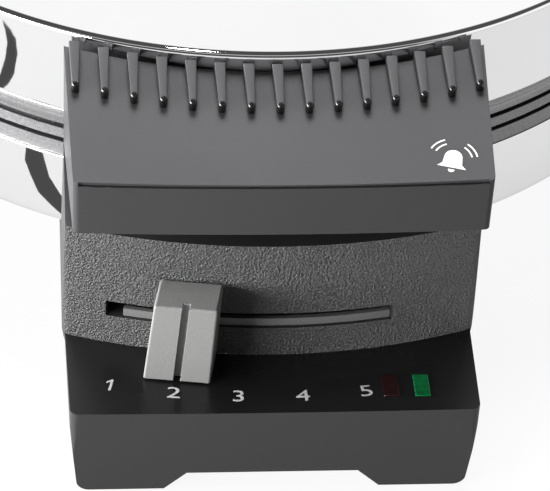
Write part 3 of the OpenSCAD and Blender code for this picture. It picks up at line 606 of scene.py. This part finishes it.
# ---------------- drum and lid
def make_lid_shell():
    rise = LID_TOP - LID_RIM_Z - RIM_R
    dome_r = ((DRUM_R - RIM_R) ** 2 + rise ** 2) / (2 * rise)
    lean = math.degrees(math.asin((DRUM_R - RIM_R) / dome_r))
    centre = LID_TOP - dome_r
    inner = DRUM_R - SHEET
    outline = (arc(DRUM_R - LID_FOOT_R, LID_Z + LID_FOOT_R, LID_FOOT_R, -90, 0, 4)
               + [(DRUM_R, LID_Z + LID_FOOT_R + EDGE_LOOP), (DRUM_R, LID_RIM_Z - EDGE_LOOP)]
               + arc(DRUM_R - RIM_R, LID_RIM_Z, RIM_R, 0, 90 - lean, 14)
               + arc(0, centre, dome_r, 90 - lean, 90, 22)[1:]
               + arc(0, centre, dome_r - SHEET, 90, 90 - lean, 12)
               + [(inner, LID_RIM_Z), (inner, LID_Z)])
    return revolve("lid_shell_polished", outline, CHROME)


def make_lower_shell():
    corner_r, corner_z = DRUM_R - BOWL_EDGE, BOWL_Z + BOWL_EDGE
    outline = ([(SERVICE_R, BOWL_Z)] + arc(corner_r, corner_z, BOWL_EDGE, -90, 0, 14)
               + [(DRUM_R, corner_z + EDGE_LOOP), (DRUM_R, BOWL_TOP - BOWL_LIP_R - EDGE_LOOP)]
               + arc(DRUM_R - BOWL_LIP_R, BOWL_TOP - BOWL_LIP_R, BOWL_LIP_R, 0, 90, 4)
               + [(DRUM_R - SHEET, BOWL_TOP)]
               + arc(corner_r, corner_z, BOWL_EDGE - SHEET, 0, -90, 6)
               + [(SERVICE_R, BOWL_Z + SHEET)])
    shell = revolve("lower_shell_polished", outline, CHROME)
    combine(shell, sector("window", DRUM_R - 9, DRUM_R + 5, ARM_Z - ARM_CLEAR,
                          ARM_Z + ARM_T + ARM_CLEAR, SLOT_LEFT - WINDOW_SPARE,
                          SLOT_RIGHT + WINDOW_SPARE), "DIFFERENCE")
    return shell


keep(make_lid_shell(), "lid_shell")
keep(make_lower_shell(), "lower_shell")
keep(revolve("trim_ring_satin", ring_profile(DRUM_R - TRIM_DEPTH, DRUM_R - TRIM_IN, TRIM_Z,
                                             LID_Z, TRIM_EDGE), TRIM), "trim_ring")


# ---------------- handle
def handle_top(u):
    """Height of the handle's sloping top at u in front of the drum's axis."""
    return HANDLE_Z - (u - DRUM_R) * math.tan(math.radians(HANDLE_SLOPE))


def handle_under(u):
    """Height of its underside there."""
    front = handle_top(HANDLE_REACH) - HANDLE_FACE
    rear = UPPER_FACE + HANDLE_FOOT_UP
    return rear + (u - HANDLE_FOOT_R) * (front - rear) / (HANDLE_REACH - HANDLE_FOOT_R)


def handle_plan():
    """Plan of the handle: a bowed front, tapered sides and a hollow rear edge."""
    centre = HANDLE_REAR_R - DRUM_R - DRUM_CLEAR
    lean = math.degrees(math.asin(HANDLE_W / HANDLE_REAR_R))
    corner = HANDLE_REAR_R * math.cos(math.radians(lean)) - centre
    outline = (bow_outline(HANDLE_W - HANDLE_TAPER, HANDLE_W, corner, HANDLE_REACH, HANDLE_BOW,
                           HANDLE_CORNER)
               + arc(0, centre, HANDLE_REAR_R, -90 - lean, -90 + lean, 48)[1:-1])
    return [(x + HANDLE_SHIFT, y) for x, y in outline]


def make_handle_body():
    """The handle's moulding, with eased edges and the shadow line under its front edge."""
    body = prism("handle_body", handle_plan(), upright, 40, 110, HANDLE)
    side = [(-90, handle_top(90)), (-160, handle_top(160)), (-160, handle_under(160)),
            (-90, handle_under(90))]
    combine(body, prism("side", side, sideways, -60, 60, HANDLE), "INTERSECT")

    def share(place):
        under = abs(place.z - handle_under(-place.y)) < NEAR
        beside = abs(place.x - HANDLE_SHIFT) > HANDLE_W - HANDLE_TAPER - 2.4
        ahead = place.z > handle_top(-place.y) - NEAR and place.y < -HANDLE_REACH + 4
        if under and beside:
            return 1.0
        return (HANDLE_FRONT_EDGE if ahead else HANDLE_EDGE) / HANDLE_FOOT_EDGE

    soften(body, HANDLE_FOOT_EDGE, 5, share=share)
    z = handle_top(HANDLE_REACH) - HANDLE_FRONT_EDGE
    lean = math.degrees(math.asin((HANDLE_W - SHADOW_IN) / HANDLE_BOW))
    bow_y = HANDLE_BOW - HANDLE_REACH
    for depth, high in ((SHADOW_STEP, z + 3), (SHADOW_DEPTH, z)):
        line = (arc(HANDLE_SHIFT, bow_y, HANDLE_BOW + 1, -90 - lean, -90 + lean, 40)
                + arc(HANDLE_SHIFT, bow_y, HANDLE_BOW - depth, -90 + lean, -90 - lean, 40))
        combine(body, prism("line", line, upright, z - SHADOW_LINE, high, HANDLE), "DIFFERENCE")
    combine(body, drum_cutter(20.0), "DIFFERENCE")
    even_shading(body)
    return body


def make_fin_tree():
    """Blades set side by side between two arcs, with a round tip in front of each one. A blade
    is stretched from the front arc to the rear one."""
    tree = bpy.data.node_groups.new("fin_row", "GeometryNodeTree")
    group_input(tree, "Count", "Int", FIN_COUNT)
    for label, value in (("Pitch", FIN_PITCH), ("Sideways", HANDLE_SHIFT),
                         ("Front", FIN_FRONT), ("Front radius", FIN_BOW_R),
                         ("Rear", DRUM_R + 0.25), ("Rear radius", HANDLE_REAR_R),
                         ("Axis", AXIS_Y), ("Top height", handle_top(DRUM_R))):
        group_input(tree, label, "Float", value * MM)
    group_input(tree, "Slope", "Float", math.radians(HANDLE_SLOPE))
    group_input(tree, "Drum radius", "Float", DRUM_R * MM)
    for label in ("Blade", "Tip"):
        group_input(tree, label, "Object")
    for label in ("Blade material", "Tip material"):
        group_input(tree, label, "Material")
    tree.interface.new_socket("Geometry", in_out="OUTPUT", socket_type="NodeSocketGeometry")
    given = tree.nodes.new("NodeGroupInput").outputs
    middle = maths(tree, "DIVIDE", maths(tree, "SUBTRACT", given["Count"], 1.0), 2.0)
    x = maths(tree, "MULTIPLY", maths(tree, "SUBTRACT", add(tree, "GeometryNodeInputIndex")
                                      .outputs[0], middle), given["Pitch"])
    square = maths(tree, "MULTIPLY", x, x)

    def ahead(front, radius):
        """How far in front of the axis an arc lies at x."""
        flat = maths(tree, "SQRT", maths(tree, "SUBTRACT",
                                         maths(tree, "MULTIPLY", radius, radius), square))
        return maths(tree, "SUBTRACT", front, maths(tree, "SUBTRACT", radius, flat))

    tip = ahead(given["Front"], given["Front radius"])
    rear = ahead(given["Rear"], given["Rear radius"])
    fall = maths(tree, "MULTIPLY", maths(tree, "SUBTRACT", tip, given["Drum radius"]),
                 maths(tree, "TANGENT", given["Slope"]))
    place = add(tree, "ShaderNodeCombineXYZ", {
        "X": maths(tree, "ADD", x, given["Sideways"]),
        "Y": maths(tree, "SUBTRACT", given["Axis"], tip),
        "Z": maths(tree, "SUBTRACT", given["Top height"], fall)}).outputs[0]
    line = add(tree, "GeometryNodeMeshLine", {"Count": given["Count"]})
    points = add(tree, "GeometryNodeSetPosition", {"Geometry": line.outputs[0],
                                                   "Position": place}).outputs[0]
    tilt = add(tree, "ShaderNodeCombineXYZ", {"X": given["Slope"]}).outputs[0]
    length = maths(tree, "DIVIDE", maths(tree, "SUBTRACT", tip, rear),
                   maths(tree, "MULTIPLY", maths(tree, "COSINE", given["Slope"]), MM))
    stretch = add(tree, "ShaderNodeCombineXYZ", {"X": 1.0, "Y": length, "Z": 1.0}).outputs[0]
    joined = add(tree, "GeometryNodeJoinGeometry")
    for piece, material, scale in (("Tip", "Tip material", (1, 1, 1)),
                                   ("Blade", "Blade material", stretch)):
        shape = add(tree, "GeometryNodeObjectInfo", {"Object": given[piece]})
        row = add(tree, "GeometryNodeInstanceOnPoints", {
            "Points": points, "Instance": shape.outputs["Geometry"], "Rotation": tilt,
            "Scale": scale}).outputs[0]
        solid = add(tree, "GeometryNodeRealizeInstances", {"Geometry": row}).outputs[0]
        painted = add(tree, "GeometryNodeSetMaterial", {"Geometry": solid,
                                                        "Material": given[material]})
        tree.links.new(painted.outputs[0], joined.inputs[0])
    tree.links.new(joined.outputs[0], tree.nodes.new("NodeGroupOutput").inputs[0])
    return tree


def grow(name, tree, inputs):
    """The plain mesh that a Geometry Nodes tree makes from these inputs."""
    obj = new_object(name, bpy.data.meshes.new(name))
    step = obj.modifiers.new("grow", "NODES")
    step.node_group = tree
    for socket in tree.interface.items_tree:
        if socket.in_out == "INPUT" and socket.name in inputs:
            step[socket.identifier] = inputs[socket.name]
    apply_modifiers(obj, EDGED_ANGLE)
    return obj


def flat_frame(u, v, w):
    return Vector((u, v, w)) * MM


def make_fins():
    """The heat-guard fins, tapered and with eased edges, and their glossy round tips, whose
    near-black colour is partly painted shade.
    """
    front, rear = FIN_HALF_W
    blade = prism("blade", [(-front, 0), (front, 0), (rear, 1), (-rear, 1)], flat_frame,
                  -FIN_FOOT, FIN_HEIGHT, HANDLE)

    def long_top_edge(edge):
        top = min(v.co.z for v in edge.verts) > (FIN_HEIGHT - 0.1) * MM
        return 1.0 if top and edge.verts[0].co.y != edge.verts[1].co.y else 0.0

    bevel(blade, FIN_EDGE, 3, "WEIGHT")
    weigh_edges(blade, long_top_edge)
    apply_modifiers(blade)
    tip = prism("tip", arc(0, 0, TIP_R, 0, 345, 23), flat_frame, -FIN_FOOT,
                FIN_HEIGHT + TIP_RISE, FIN_TIP)
    bevel(tip, TIP_ROUND, 6)
    apply_modifiers(tip)
    fins = grow("handle_fins", make_fin_tree(), {"Blade": blade, "Tip": tip,
                                                 "Blade material": HANDLE,
                                                 "Tip material": FIN_TIP})
    bpy.data.objects.remove(blade)
    bpy.data.objects.remove(tip)
    return fins


def paint_faces(obj, rule):
    """Gives each face the material number that rule(centre, normal) returns, in millimetres."""
    for face in obj.data.polygons:
        face.material_index = rule(about_axis(face.center), face.normal)


def housing_view():
    """Front view of the housing: feet with an arch between them, and flared sides."""
    side = ([(ARCH_W, 0)] + arc(TOE_W - 4.5, 3, 3, -90, -10, 8)
            + [(TOE_W - 0.1, LEDGE_Z - 6), (HOUSING_W, LEDGE_Z + 0.5),
               (HOUSING_W - 0.8, LOWER_FACE + 1.0)])
    return (side + [(-x, z) for x, z in reversed(side)]
            + [(-ARCH_W + ARCH_H, ARCH_H), (ARCH_W - ARCH_H, ARCH_H)])


def make_front_housing():
    """The moulded front: a toe with its number ledge, and the curved panel over it."""
    def plan(front, bow, corner, half_w, inset=0.0):
        outline = bow_outline(half_w - inset, HOUSING_W - inset, 110, front - inset, bow,
                              corner, 80)
        return outline + [(-HOUSING_W + inset, -SADDLE), (HOUSING_W - inset, -SADDLE)]

    body = prism("front_housing_moulding", plan(PANEL_R, PANEL_R, PANEL_CORNER, HOUSING_W),
                 upright, 0, LOWER_FACE, SATIN, LEDGE, HOUSING)
    combine(body, prism("toe", plan(TOE_REACH, TOE_BOW, TOE_CORNER, TOE_W), upright,
                        0, LEDGE_Z, SATIN), "UNION")
    combine(body, prism("view", housing_view(), facing, -170, -80, SATIN), "INTERSECT")
    lean = [(-TOE_REACH + TOE_LEAN, -1), (-TOE_REACH, LEDGE_Z), (-TOE_REACH, 70), (-80, 70),
            (-80, -1)]
    combine(body, prism("lean", lean, sideways, -60, 60, SATIN), "INTERSECT")
    soften(body, HOUSING_EDGE, 4, 28.0)
    slot_top, screw_top = SLOT_Z + SLOT_H, BOWL_Z - WALL + 0.01
    for cutter in (
            drum_cutter(BOWL_Z),
            prism("hollow", plan(PANEL_R, PANEL_R, PANEL_CORNER, HOUSING_W, WALL), upright,
                  BOWL_Z - 0.01, LOWER_FACE - WALL, BLACK),
            sector("slot", PANEL_R - 9, PANEL_R + 3, SLOT_Z, slot_top, SLOT_LEFT, SLOT_RIGHT),
            sector("rebate", PANEL_R - 9, PANEL_R - GUIDE_DEPTH + FIT, SLOT_Z - 2.1, slot_top,
                   GUIDE_LEFT - FIT, SLOT_RIGHT),
            box_cutter("plate", -HATCH_HALF_W, HATCH_HALF_W, -TOE_REACH + HATCH_FRONT,
                       -HATCH_REAR, -1, ARCH_H + 2),
            *[round_cutter("foot", x, -TOE_REACH + FOOT_FRONT, FOOT_R, -1, FOOT_DEPTH)
              for x in (-FOOT_X, FOOT_X)],
            *[round_cutter("screw", x, -SCREW_REAR, SCREW_R, -1, screw_top)
              for x in (-SCREW_X, SCREW_X)],
            *[box_cutter("lamp", x - FIT, x + LENS_W + FIT, -LENS_REACH - FIT,
                         -LENS_REACH + LENS_L + FIT, LEDGE_Z - 4, LEDGE_Z + 2)
              for x in (LENS_X, LENS_X + LENS_PITCH)]):
        combine(body, cutter, "DIFFERENCE")

    def rule(centre, normal):
        # the ledge's top faces take the darker plastic, which is painted shade
        if abs(centre.z - LEDGE_Z) < 0.75 and normal.z > 0.75:
            return 1
        return 2 if centre.z > LEDGE_Z and normal.y < -0.5 else 0

    paint_faces(body, rule)
    even_shading(body)
    return body


def make_knob():
    """The slider's knob: it leans a little, widens to its foot and has a groove down it."""
    shift = math.tan(math.radians(KNOB_LEAN)) * KNOB_H / 2

    def middle(z):
        return shift * (2 * (z - KNOB_Z) / KNOB_H - 1)

    def leaning(foot, top, z0, z1):
        """Front view of a block as wide as foot at the knob's foot and as top at its top."""
        return [(middle(z) + side * (foot + (top - foot) * ((z - KNOB_Z) / KNOB_H)) / 2, z)
                for z, side in ((z0, -1), (z0, 1), (z1, 1), (z1, -1))]

    back = PANEL_R + KNOB_CLEAR
    knob = prism("slider_knob_moulding", leaning(KNOB_W + KNOB_FLARE, KNOB_W, KNOB_Z,
                                                 KNOB_Z + KNOB_H), facing,
                 -back - KNOB_D, -back, KNOB)
    combine(knob, prism("groove", leaning(KNOB_GROOVE, KNOB_GROOVE, KNOB_Z - 1,
                                          KNOB_Z + KNOB_H + 1), facing,
                        -back - KNOB_D - 1, -back - KNOB_D + KNOB_GROOVE_D, KNOB), "DIFFERENCE")
    slope = math.tan(math.radians(KNOB_SLOPE))
    for vertex in knob.data.vertices:
        place = about_axis(vertex.co)
        ahead = (-place.y - back) / KNOB_D
        vertex.co.x += (KNOB_SIDE - KNOB_SKEW * ahead) * MM
        vertex.co.y += (place.z - KNOB_Z) * slope * ahead * MM

    def share(place):
        aside = abs(place.x - (middle(place.z) + KNOB_SIDE - KNOB_SKEW))
        return 0.25 if aside < KNOB_GROOVE and place.y < -back - 2 else 1.0

    soften(knob, KNOB_EDGE, 4, share=share)
    turn = (Matrix.Translation(at(0, 0, 0)) @ Matrix.Rotation(math.radians(SLIDER_A), 4, "Z")
            @ Matrix.Translation(-at(0, 0, 0)))
    knob.data.transform(turn)
    return knob


keep(make_front_housing(), "front_housing")
keep(make_knob(), "slider_knob")
keep(make_handle_body(), "handle")
keep(make_fins(), "handle", False)


# ---------------- printed marks
INK_LIFT = 0.02          # height of the ink over the plastic
BELL_PLACE = (37.9, -140.7, -14)     # its middle and its turn in degrees
CAP_SHARE = 0.72         # height of a number in the built-in letters, for a size of 1


def print_outline(name, polygons, lift, thickness=0.05):
    """Flat printed shapes, each a closed polygon, as one thin layer of ink."""
    bm = bmesh.new()
    for polygon in polygons:
        push_out(bm, polygon, lift, 0.0, thickness)
    return from_bmesh(name, bm, INK)


def number_place(angle):
    """Where a number stands on the ledge, its top towards the drum's axis."""
    return (Matrix.Translation(at(0, 0, LEDGE_Z + INK_LIFT))
            @ Matrix.Rotation(math.radians(angle), 4, "Z")
            @ Matrix.Translation((0, -NUMBER_R * MM, 0)))


def make_number(label, angle):
    """One printed number in the plain built-in letters."""
    text = bpy.data.curves.new("number", "FONT")
    text.body, text.size, text.extrude = label, NUMBER_H / CAP_SHARE * MM, INK_LIFT * MM
    text.align_x, text.align_y = "CENTER", "CENTER"
    holder = link_object("number", text)
    mesh = evaluated_mesh(holder)
    bpy.data.objects.remove(holder)
    xs = [v.co.x for v in mesh.vertices]
    ys = [v.co.y for v in mesh.vertices]
    centre = Vector(((min(xs) + max(xs)) / 2, (min(ys) + max(ys)) / 2, 0))
    mesh.transform(number_place(angle) @ Matrix.Diagonal((NUMBER_STRETCH, 1, 1, 1))
                   @ Matrix.Translation(-centre))
    keep(new_object("number_" + label, mesh, INK), "front_housing", False)


def make_one():
    """The number 1 with its flag, as a single outline."""
    half = NUMBER_H / 2
    outline = [(-0.05, -half), (0.5, -half), (0.5, half), (0.12, half), (-0.95, half - 0.95),
               (-0.95, half - 1.4), (-0.05, half - 0.85)]
    place = number_place(NUMBER_A0)
    marks = print_outline("number_1", [outline],
                          lambda u, v, w: place @ (Vector((u, v, w)) * MM), INK_LIFT)
    keep(marks, "front_housing", False)


def stroke(points, width):
    """A thick line along points."""
    left, right = [], []
    for i, (x, y) in enumerate(points):
        x0, y0 = points[max(i - 1, 0)]
        x1, y1 = points[min(i + 1, len(points) - 1)]
        size = math.hypot(x1 - x0, y1 - y0)
        nx, ny = -(y1 - y0) / size * width / 2, (x1 - x0) / size * width / 2
        left.append((x + nx, y + ny))
        right.append((x - nx, y - ny))
    return left + right[::-1]


def handle_lift(cx, cy, turn):
    """Places flat marks on the handle's sloping top, turned in its plane by turn degrees."""
    c, s = math.cos(math.radians(turn)), math.sin(math.radians(turn))

    def lift(u, v, w):
        x, y = cx + u * c - v * s, cy + u * s + v * c
        return at(x, y, handle_top(-y) + INK_LIFT + w)
    return lift


def make_bell():
    """A plain ready bell: its body, clapper and two ringing strokes."""
    body = [(-3.2, -2.2), (-2.2, -1.2), (-2.0, 0.6)] + arc(0, 0.7, 2.0, 175, 5, 12) \
        + [(2.0, 0.6), (2.2, -1.2), (3.2, -2.2)]
    clapper = arc(0, -2.75, 0.75, 0, -180, 8)
    waves = [stroke(arc(0, 0.2, r, a0, a1, 6), 0.35)
             for r in (4.3, 5.5) for a0, a1 in ((20, 62), (118, 160))]
    marks = print_outline("ready_bell", [body, clapper] + waves, handle_lift(*BELL_PLACE))
    keep(marks, "handle", False)


make_one()
for index in range(1, 5):
    make_number(str(index + 1), NUMBER_A0 + NUMBER_STEP * index)
make_bell()

# ---------------- the other pieces
for node, material, edge in (
        ("rear_housing", SATIN, 0.35), ("hinge_cover", SATIN, 0.3),
        ("handle_underside", SATIN, 0.0), ("lower_plate", CASTING, 0.0),
        ("upper_plate", CASTING, 0.0), ("red_lens", RED, 0.15), ("green_lens", GREEN, 0.15),
        ("slot_guide", GUIDE, 0.0), ("service_cover", ZINC, 0.0),
        ("front_base_plate", SATIN, 0.2), ("rear_base_plate", SATIN, 0.2),
        ("cord_inlet", BLACK, 0.25), ("rubber_feet", RUBBER, 0.3),
        ("hinge_pin", ZINC, 0.25), ("hinge_clips", ZINC, 0.0)):
    finished_copy(node, material, edge)

for node, material in (
        ("lamp_board", BOARD), ("indicator_lamps", GLASS), ("buzzer", BLACK),
        ("terminal_block", CERAMIC), ("lower_element", ELEMENT), ("upper_element", ELEMENT),
        ("lower_reflector", BRIGHT), ("thermostat", CERAMIC), ("thermostat_bracket", ZINC),
        ("lower_plate_screws", ZINC), ("housing_screws", ZINC), ("cover_screws", ZINC),
        ("slider_arm", ZINC), ("thermostat_spindle", ZINC), ("lid_frame", BRIGHT),
        ("thermal_fuse", CERAMIC), ("handle_screws", ZINC), ("hinge_cover_screws", ZINC),
        ("upper_plate_screws", ZINC)):
    repaint(node, material)


# ---------------- studio
DARK = 0.07              # glow of the dark cards
CARD_CORE = 0.62         # share of a large card that is wholly dark
SKY_LIGHT, SKY_SEEN = 0.08, 1.0
FLOOR_BASE, FLOOR_HELD_BACK = (0.2, 0.22), 0.17    # the second where camera or mirror sees it
FLOOR_SEEN = 0.92        # glow of the floor for the camera
FLOOR_MIRRORED = (0.6, 0.76, -0.2, 0.2)    # glow in mirrors, from one side to the other, metres
CAMERA_TURN, CAMERA_DIP, CAMERA_TILT = 6.267, 40.0, 3.506
CAMERA_PLACE, CAMERA_REACH = (-54.7, -635.4, 473.7), 2889.16 / 550    # focal length / width
FILM_WIDTH = 36.0
# name, centre, size, front, whether its edges are soft
CARDS = (("front_card", (0.0, -1.9, 0.98), (4.6, 1.7), (0, 1, 0), True),
         ("ceiling_card", (0.0, -0.35, 1.9), (7.6, 3.6), (0, 0, -1), True),
         ("left_card", (-1.9, 0.5, 0.35), (0.4, 0.9), (1, -0.3, 0), False),
         ("right_card", (1.9, 0.9, 0.35), (0.4, 0.9), (-1, -0.4, 0), False),
         ("rear_card", (-0.5, 2.0, 0.3), (0.4, 0.7), (0, -1, 0), False))
# dark strips in front of the drum on its left, in millimetres about the drum's axis
STRIPS = (("near_strip", [(-116, -138), (-109, -132), (-94, -130.5), (-79, -133.5),
                          (-85, -138.4), (-96, -138.8), (-107, -142.4)]),
          ("far_strip", [(-171, -149), (-165, -148.7), (-159, -147.3), (-153.7, -142.6),
                         (-149, -136), (-146, -130), (-142, -133), (-142.7, -139.3),
                         (-144.6, -145.3), (-151.3, -152.2), (-158, -154.5), (-163, -153.5)]))
# name, place, what it points at, size, watts, whether polished metal shows it
LAMPS = (("key", (-0.71, -0.235, 0.17), (0, -0.12, 0.05), (1.2, 0.3), 42.0, True),
         ("fill", (0.1, -1.85, 0.42), (0, -0.15, 0.04), (0.9, 0.5), 1.0, False),
         ("top", (-0.05, 0.5, 1.15), (0, -0.12, 0.06), (0.6, 0.6), 70.0, False),
         ("sparkle", (-0.15, -0.3, 1.3), (0, -0.12, 0.08), (0.12, 0.12), 2.0, True))


def stage_plane(name, centre, size, front, material):
    """A flat card of size (width, height) metres that faces along the direction front."""
    w, h = size[0] / 2, size[1] / 2
    mesh = bpy.data.meshes.new(name)
    mesh.from_pydata([(-w, -h, 0), (w, -h, 0), (w, h, 0), (-w, h, 0)], [], [(0, 1, 2, 3)])
    obj = new_object(name, mesh, material)
    obj.matrix_world = (Matrix.Translation(centre)
                        @ Vector(front).to_track_quat("Z", "Y").to_matrix().to_4x4())
    return obj


def floor_material():
    """A pale floor that gives back little light. The camera sees it close to white."""
    material, tree, shader, place = start_material("floor")
    cloud = place_group(tree, HANDLING, place, 3.0)["Rubbed"]
    path = add(tree, "ShaderNodeLightPath").outputs
    camera, mirrored = path["Is Camera Ray"], path["Is Glossy Ray"]
    shown = maths(tree, "MAXIMUM", camera, mirrored)
    base = maths(tree, "SUBTRACT", spread(tree, cloud, *FLOOR_BASE),
                 maths(tree, "MULTIPLY", shown, FLOOR_HELD_BACK))
    feed(tree, shader, {"Base Color": base, "Roughness": 0.9, "Specular IOR Level": 0.0})
    across = add(tree, "ShaderNodeSeparateXYZ", {"Vector": place}).outputs[0]
    level = maths(tree, "ADD", maths(tree, "MULTIPLY", camera, FLOOR_SEEN),
                  maths(tree, "MULTIPLY", mirrored, spread(tree, across, *FLOOR_MIRRORED)))
    glow = add(tree, "ShaderNodeEmission", {"Color": (1, 1, 1, 1), "Strength": level})
    both = add(tree, "ShaderNodeAddShader", {0: shader.outputs[0], 1: glow.outputs[0]})
    tree.links.new(both.outputs[0], tree.nodes["Material Output"].inputs["Surface"])
    return material


def card_material(name, size=None):
    """A dark even glow. With a size (width, height) it fades to white towards the edges."""
    material, tree, shader, place = start_material(name)
    glow = add(tree, "ShaderNodeEmission", {"Color": (1, 1, 1, 1), "Strength": DARK})
    if size:
        spot = add(tree, "ShaderNodeSeparateXYZ", {"Vector": place}).outputs
        reach = [maths(tree, "DIVIDE", maths(tree, "ABSOLUTE", spot[axis], 0.0), size[axis] / 2)
                 for axis in (0, 1)]
        fade = spread(tree, maths(tree, "MAXIMUM", *reach), DARK, 1.0, CARD_CORE, 1.0)
        tree.links.new(fade, glow.inputs["Strength"])
    tree.links.new(glow.outputs[0], tree.nodes["Material Output"].inputs["Surface"])
    return material


def dark_strip(name, outline, material):
    """A dark strip just over the floor that only the polished metal shows."""
    mesh = bpy.data.meshes.new(name)
    mesh.from_pydata([at(x, y, 0.3) for x, y in outline], [], [range(len(outline))])
    strip = new_object(name, mesh, material)
    return strip


def make_sky():
    """Bright white for the camera, mirrors and clear plastic, and dim as a light."""
    world = bpy.data.worlds.new("studio")
    world.use_nodes = True
    tree = world.node_tree
    path = add(tree, "ShaderNodeLightPath").outputs
    seen = maths(tree, "MAXIMUM", path["Is Camera Ray"], path["Is Glossy Ray"])
    seen = maths(tree, "MAXIMUM", seen, path["Is Transmission Ray"])
    sky = tree.nodes["Background"]
    sky.inputs["Color"].default_value = (1, 1, 1, 1)
    tree.links.new(spread(tree, seen, SKY_LIGHT, SKY_SEEN), sky.inputs["Strength"])
    bpy.context.scene.world = world


def make_lamp(name, spot, target, size, power, shows):
    lamp = bpy.data.lights.new(name, "AREA")
    lamp.shape, lamp.energy = "RECTANGLE", power
    lamp.size, lamp.size_y = size
    holder = link_object(name, lamp)
    holder.location = spot
    holder.rotation_euler = (Vector(target) - Vector(spot)).to_track_quat("-Z", "Y").to_euler()
    holder.visible_glossy = shows


def make_studio():
    """The floor, what the polished metal mirrors, the sky and the lamps."""
    stage_plane("floor", (0, 0, 0), (8, 8), (0, 0, 1), floor_material())
    dark = card_material("dark_card")
    cards = [stage_plane(name, centre, size, front, card_material(name, size) if soft else dark)
             for name, centre, size, front, soft in CARDS]
    cards += [dark_strip(name, outline, dark) for name, outline in STRIPS]
    for card in cards:
        card.visible_camera = card.visible_diffuse = card.visible_shadow = False
        card.visible_transmission = False
    make_sky()
    for lamp in LAMPS:
        make_lamp(*lamp)


def make_camera():
    """A long lens from the front, looking down at the handle and the slider."""
    turn, dip, tilt = (math.radians(a) for a in (CAMERA_TURN, CAMERA_DIP, CAMERA_TILT))
    ahead = Vector((math.sin(turn) * math.cos(dip), math.cos(turn) * math.cos(dip),
                    -math.sin(dip)))
    level = Vector((math.cos(turn), -math.sin(turn), 0))
    upward = level.cross(ahead)
    right = math.cos(tilt) * level + math.sin(tilt) * upward
    top = -math.sin(tilt) * level + math.cos(tilt) * upward
    lens = bpy.data.cameras.new("camera")
    lens.sensor_width, lens.lens = FILM_WIDTH, CAMERA_REACH * FILM_WIDTH
    lens.clip_start, lens.clip_end = 0.05, 20.0
    camera = link_object("camera", lens)
    place = Matrix((right, top, -ahead)).transposed().to_4x4()
    place.translation = at(*CAMERA_PLACE)
    camera.matrix_world = place
    bpy.context.scene.camera = camera


make_studio()
make_camera()
bpy.context.scene.view_settings.view_transform = "Standard"
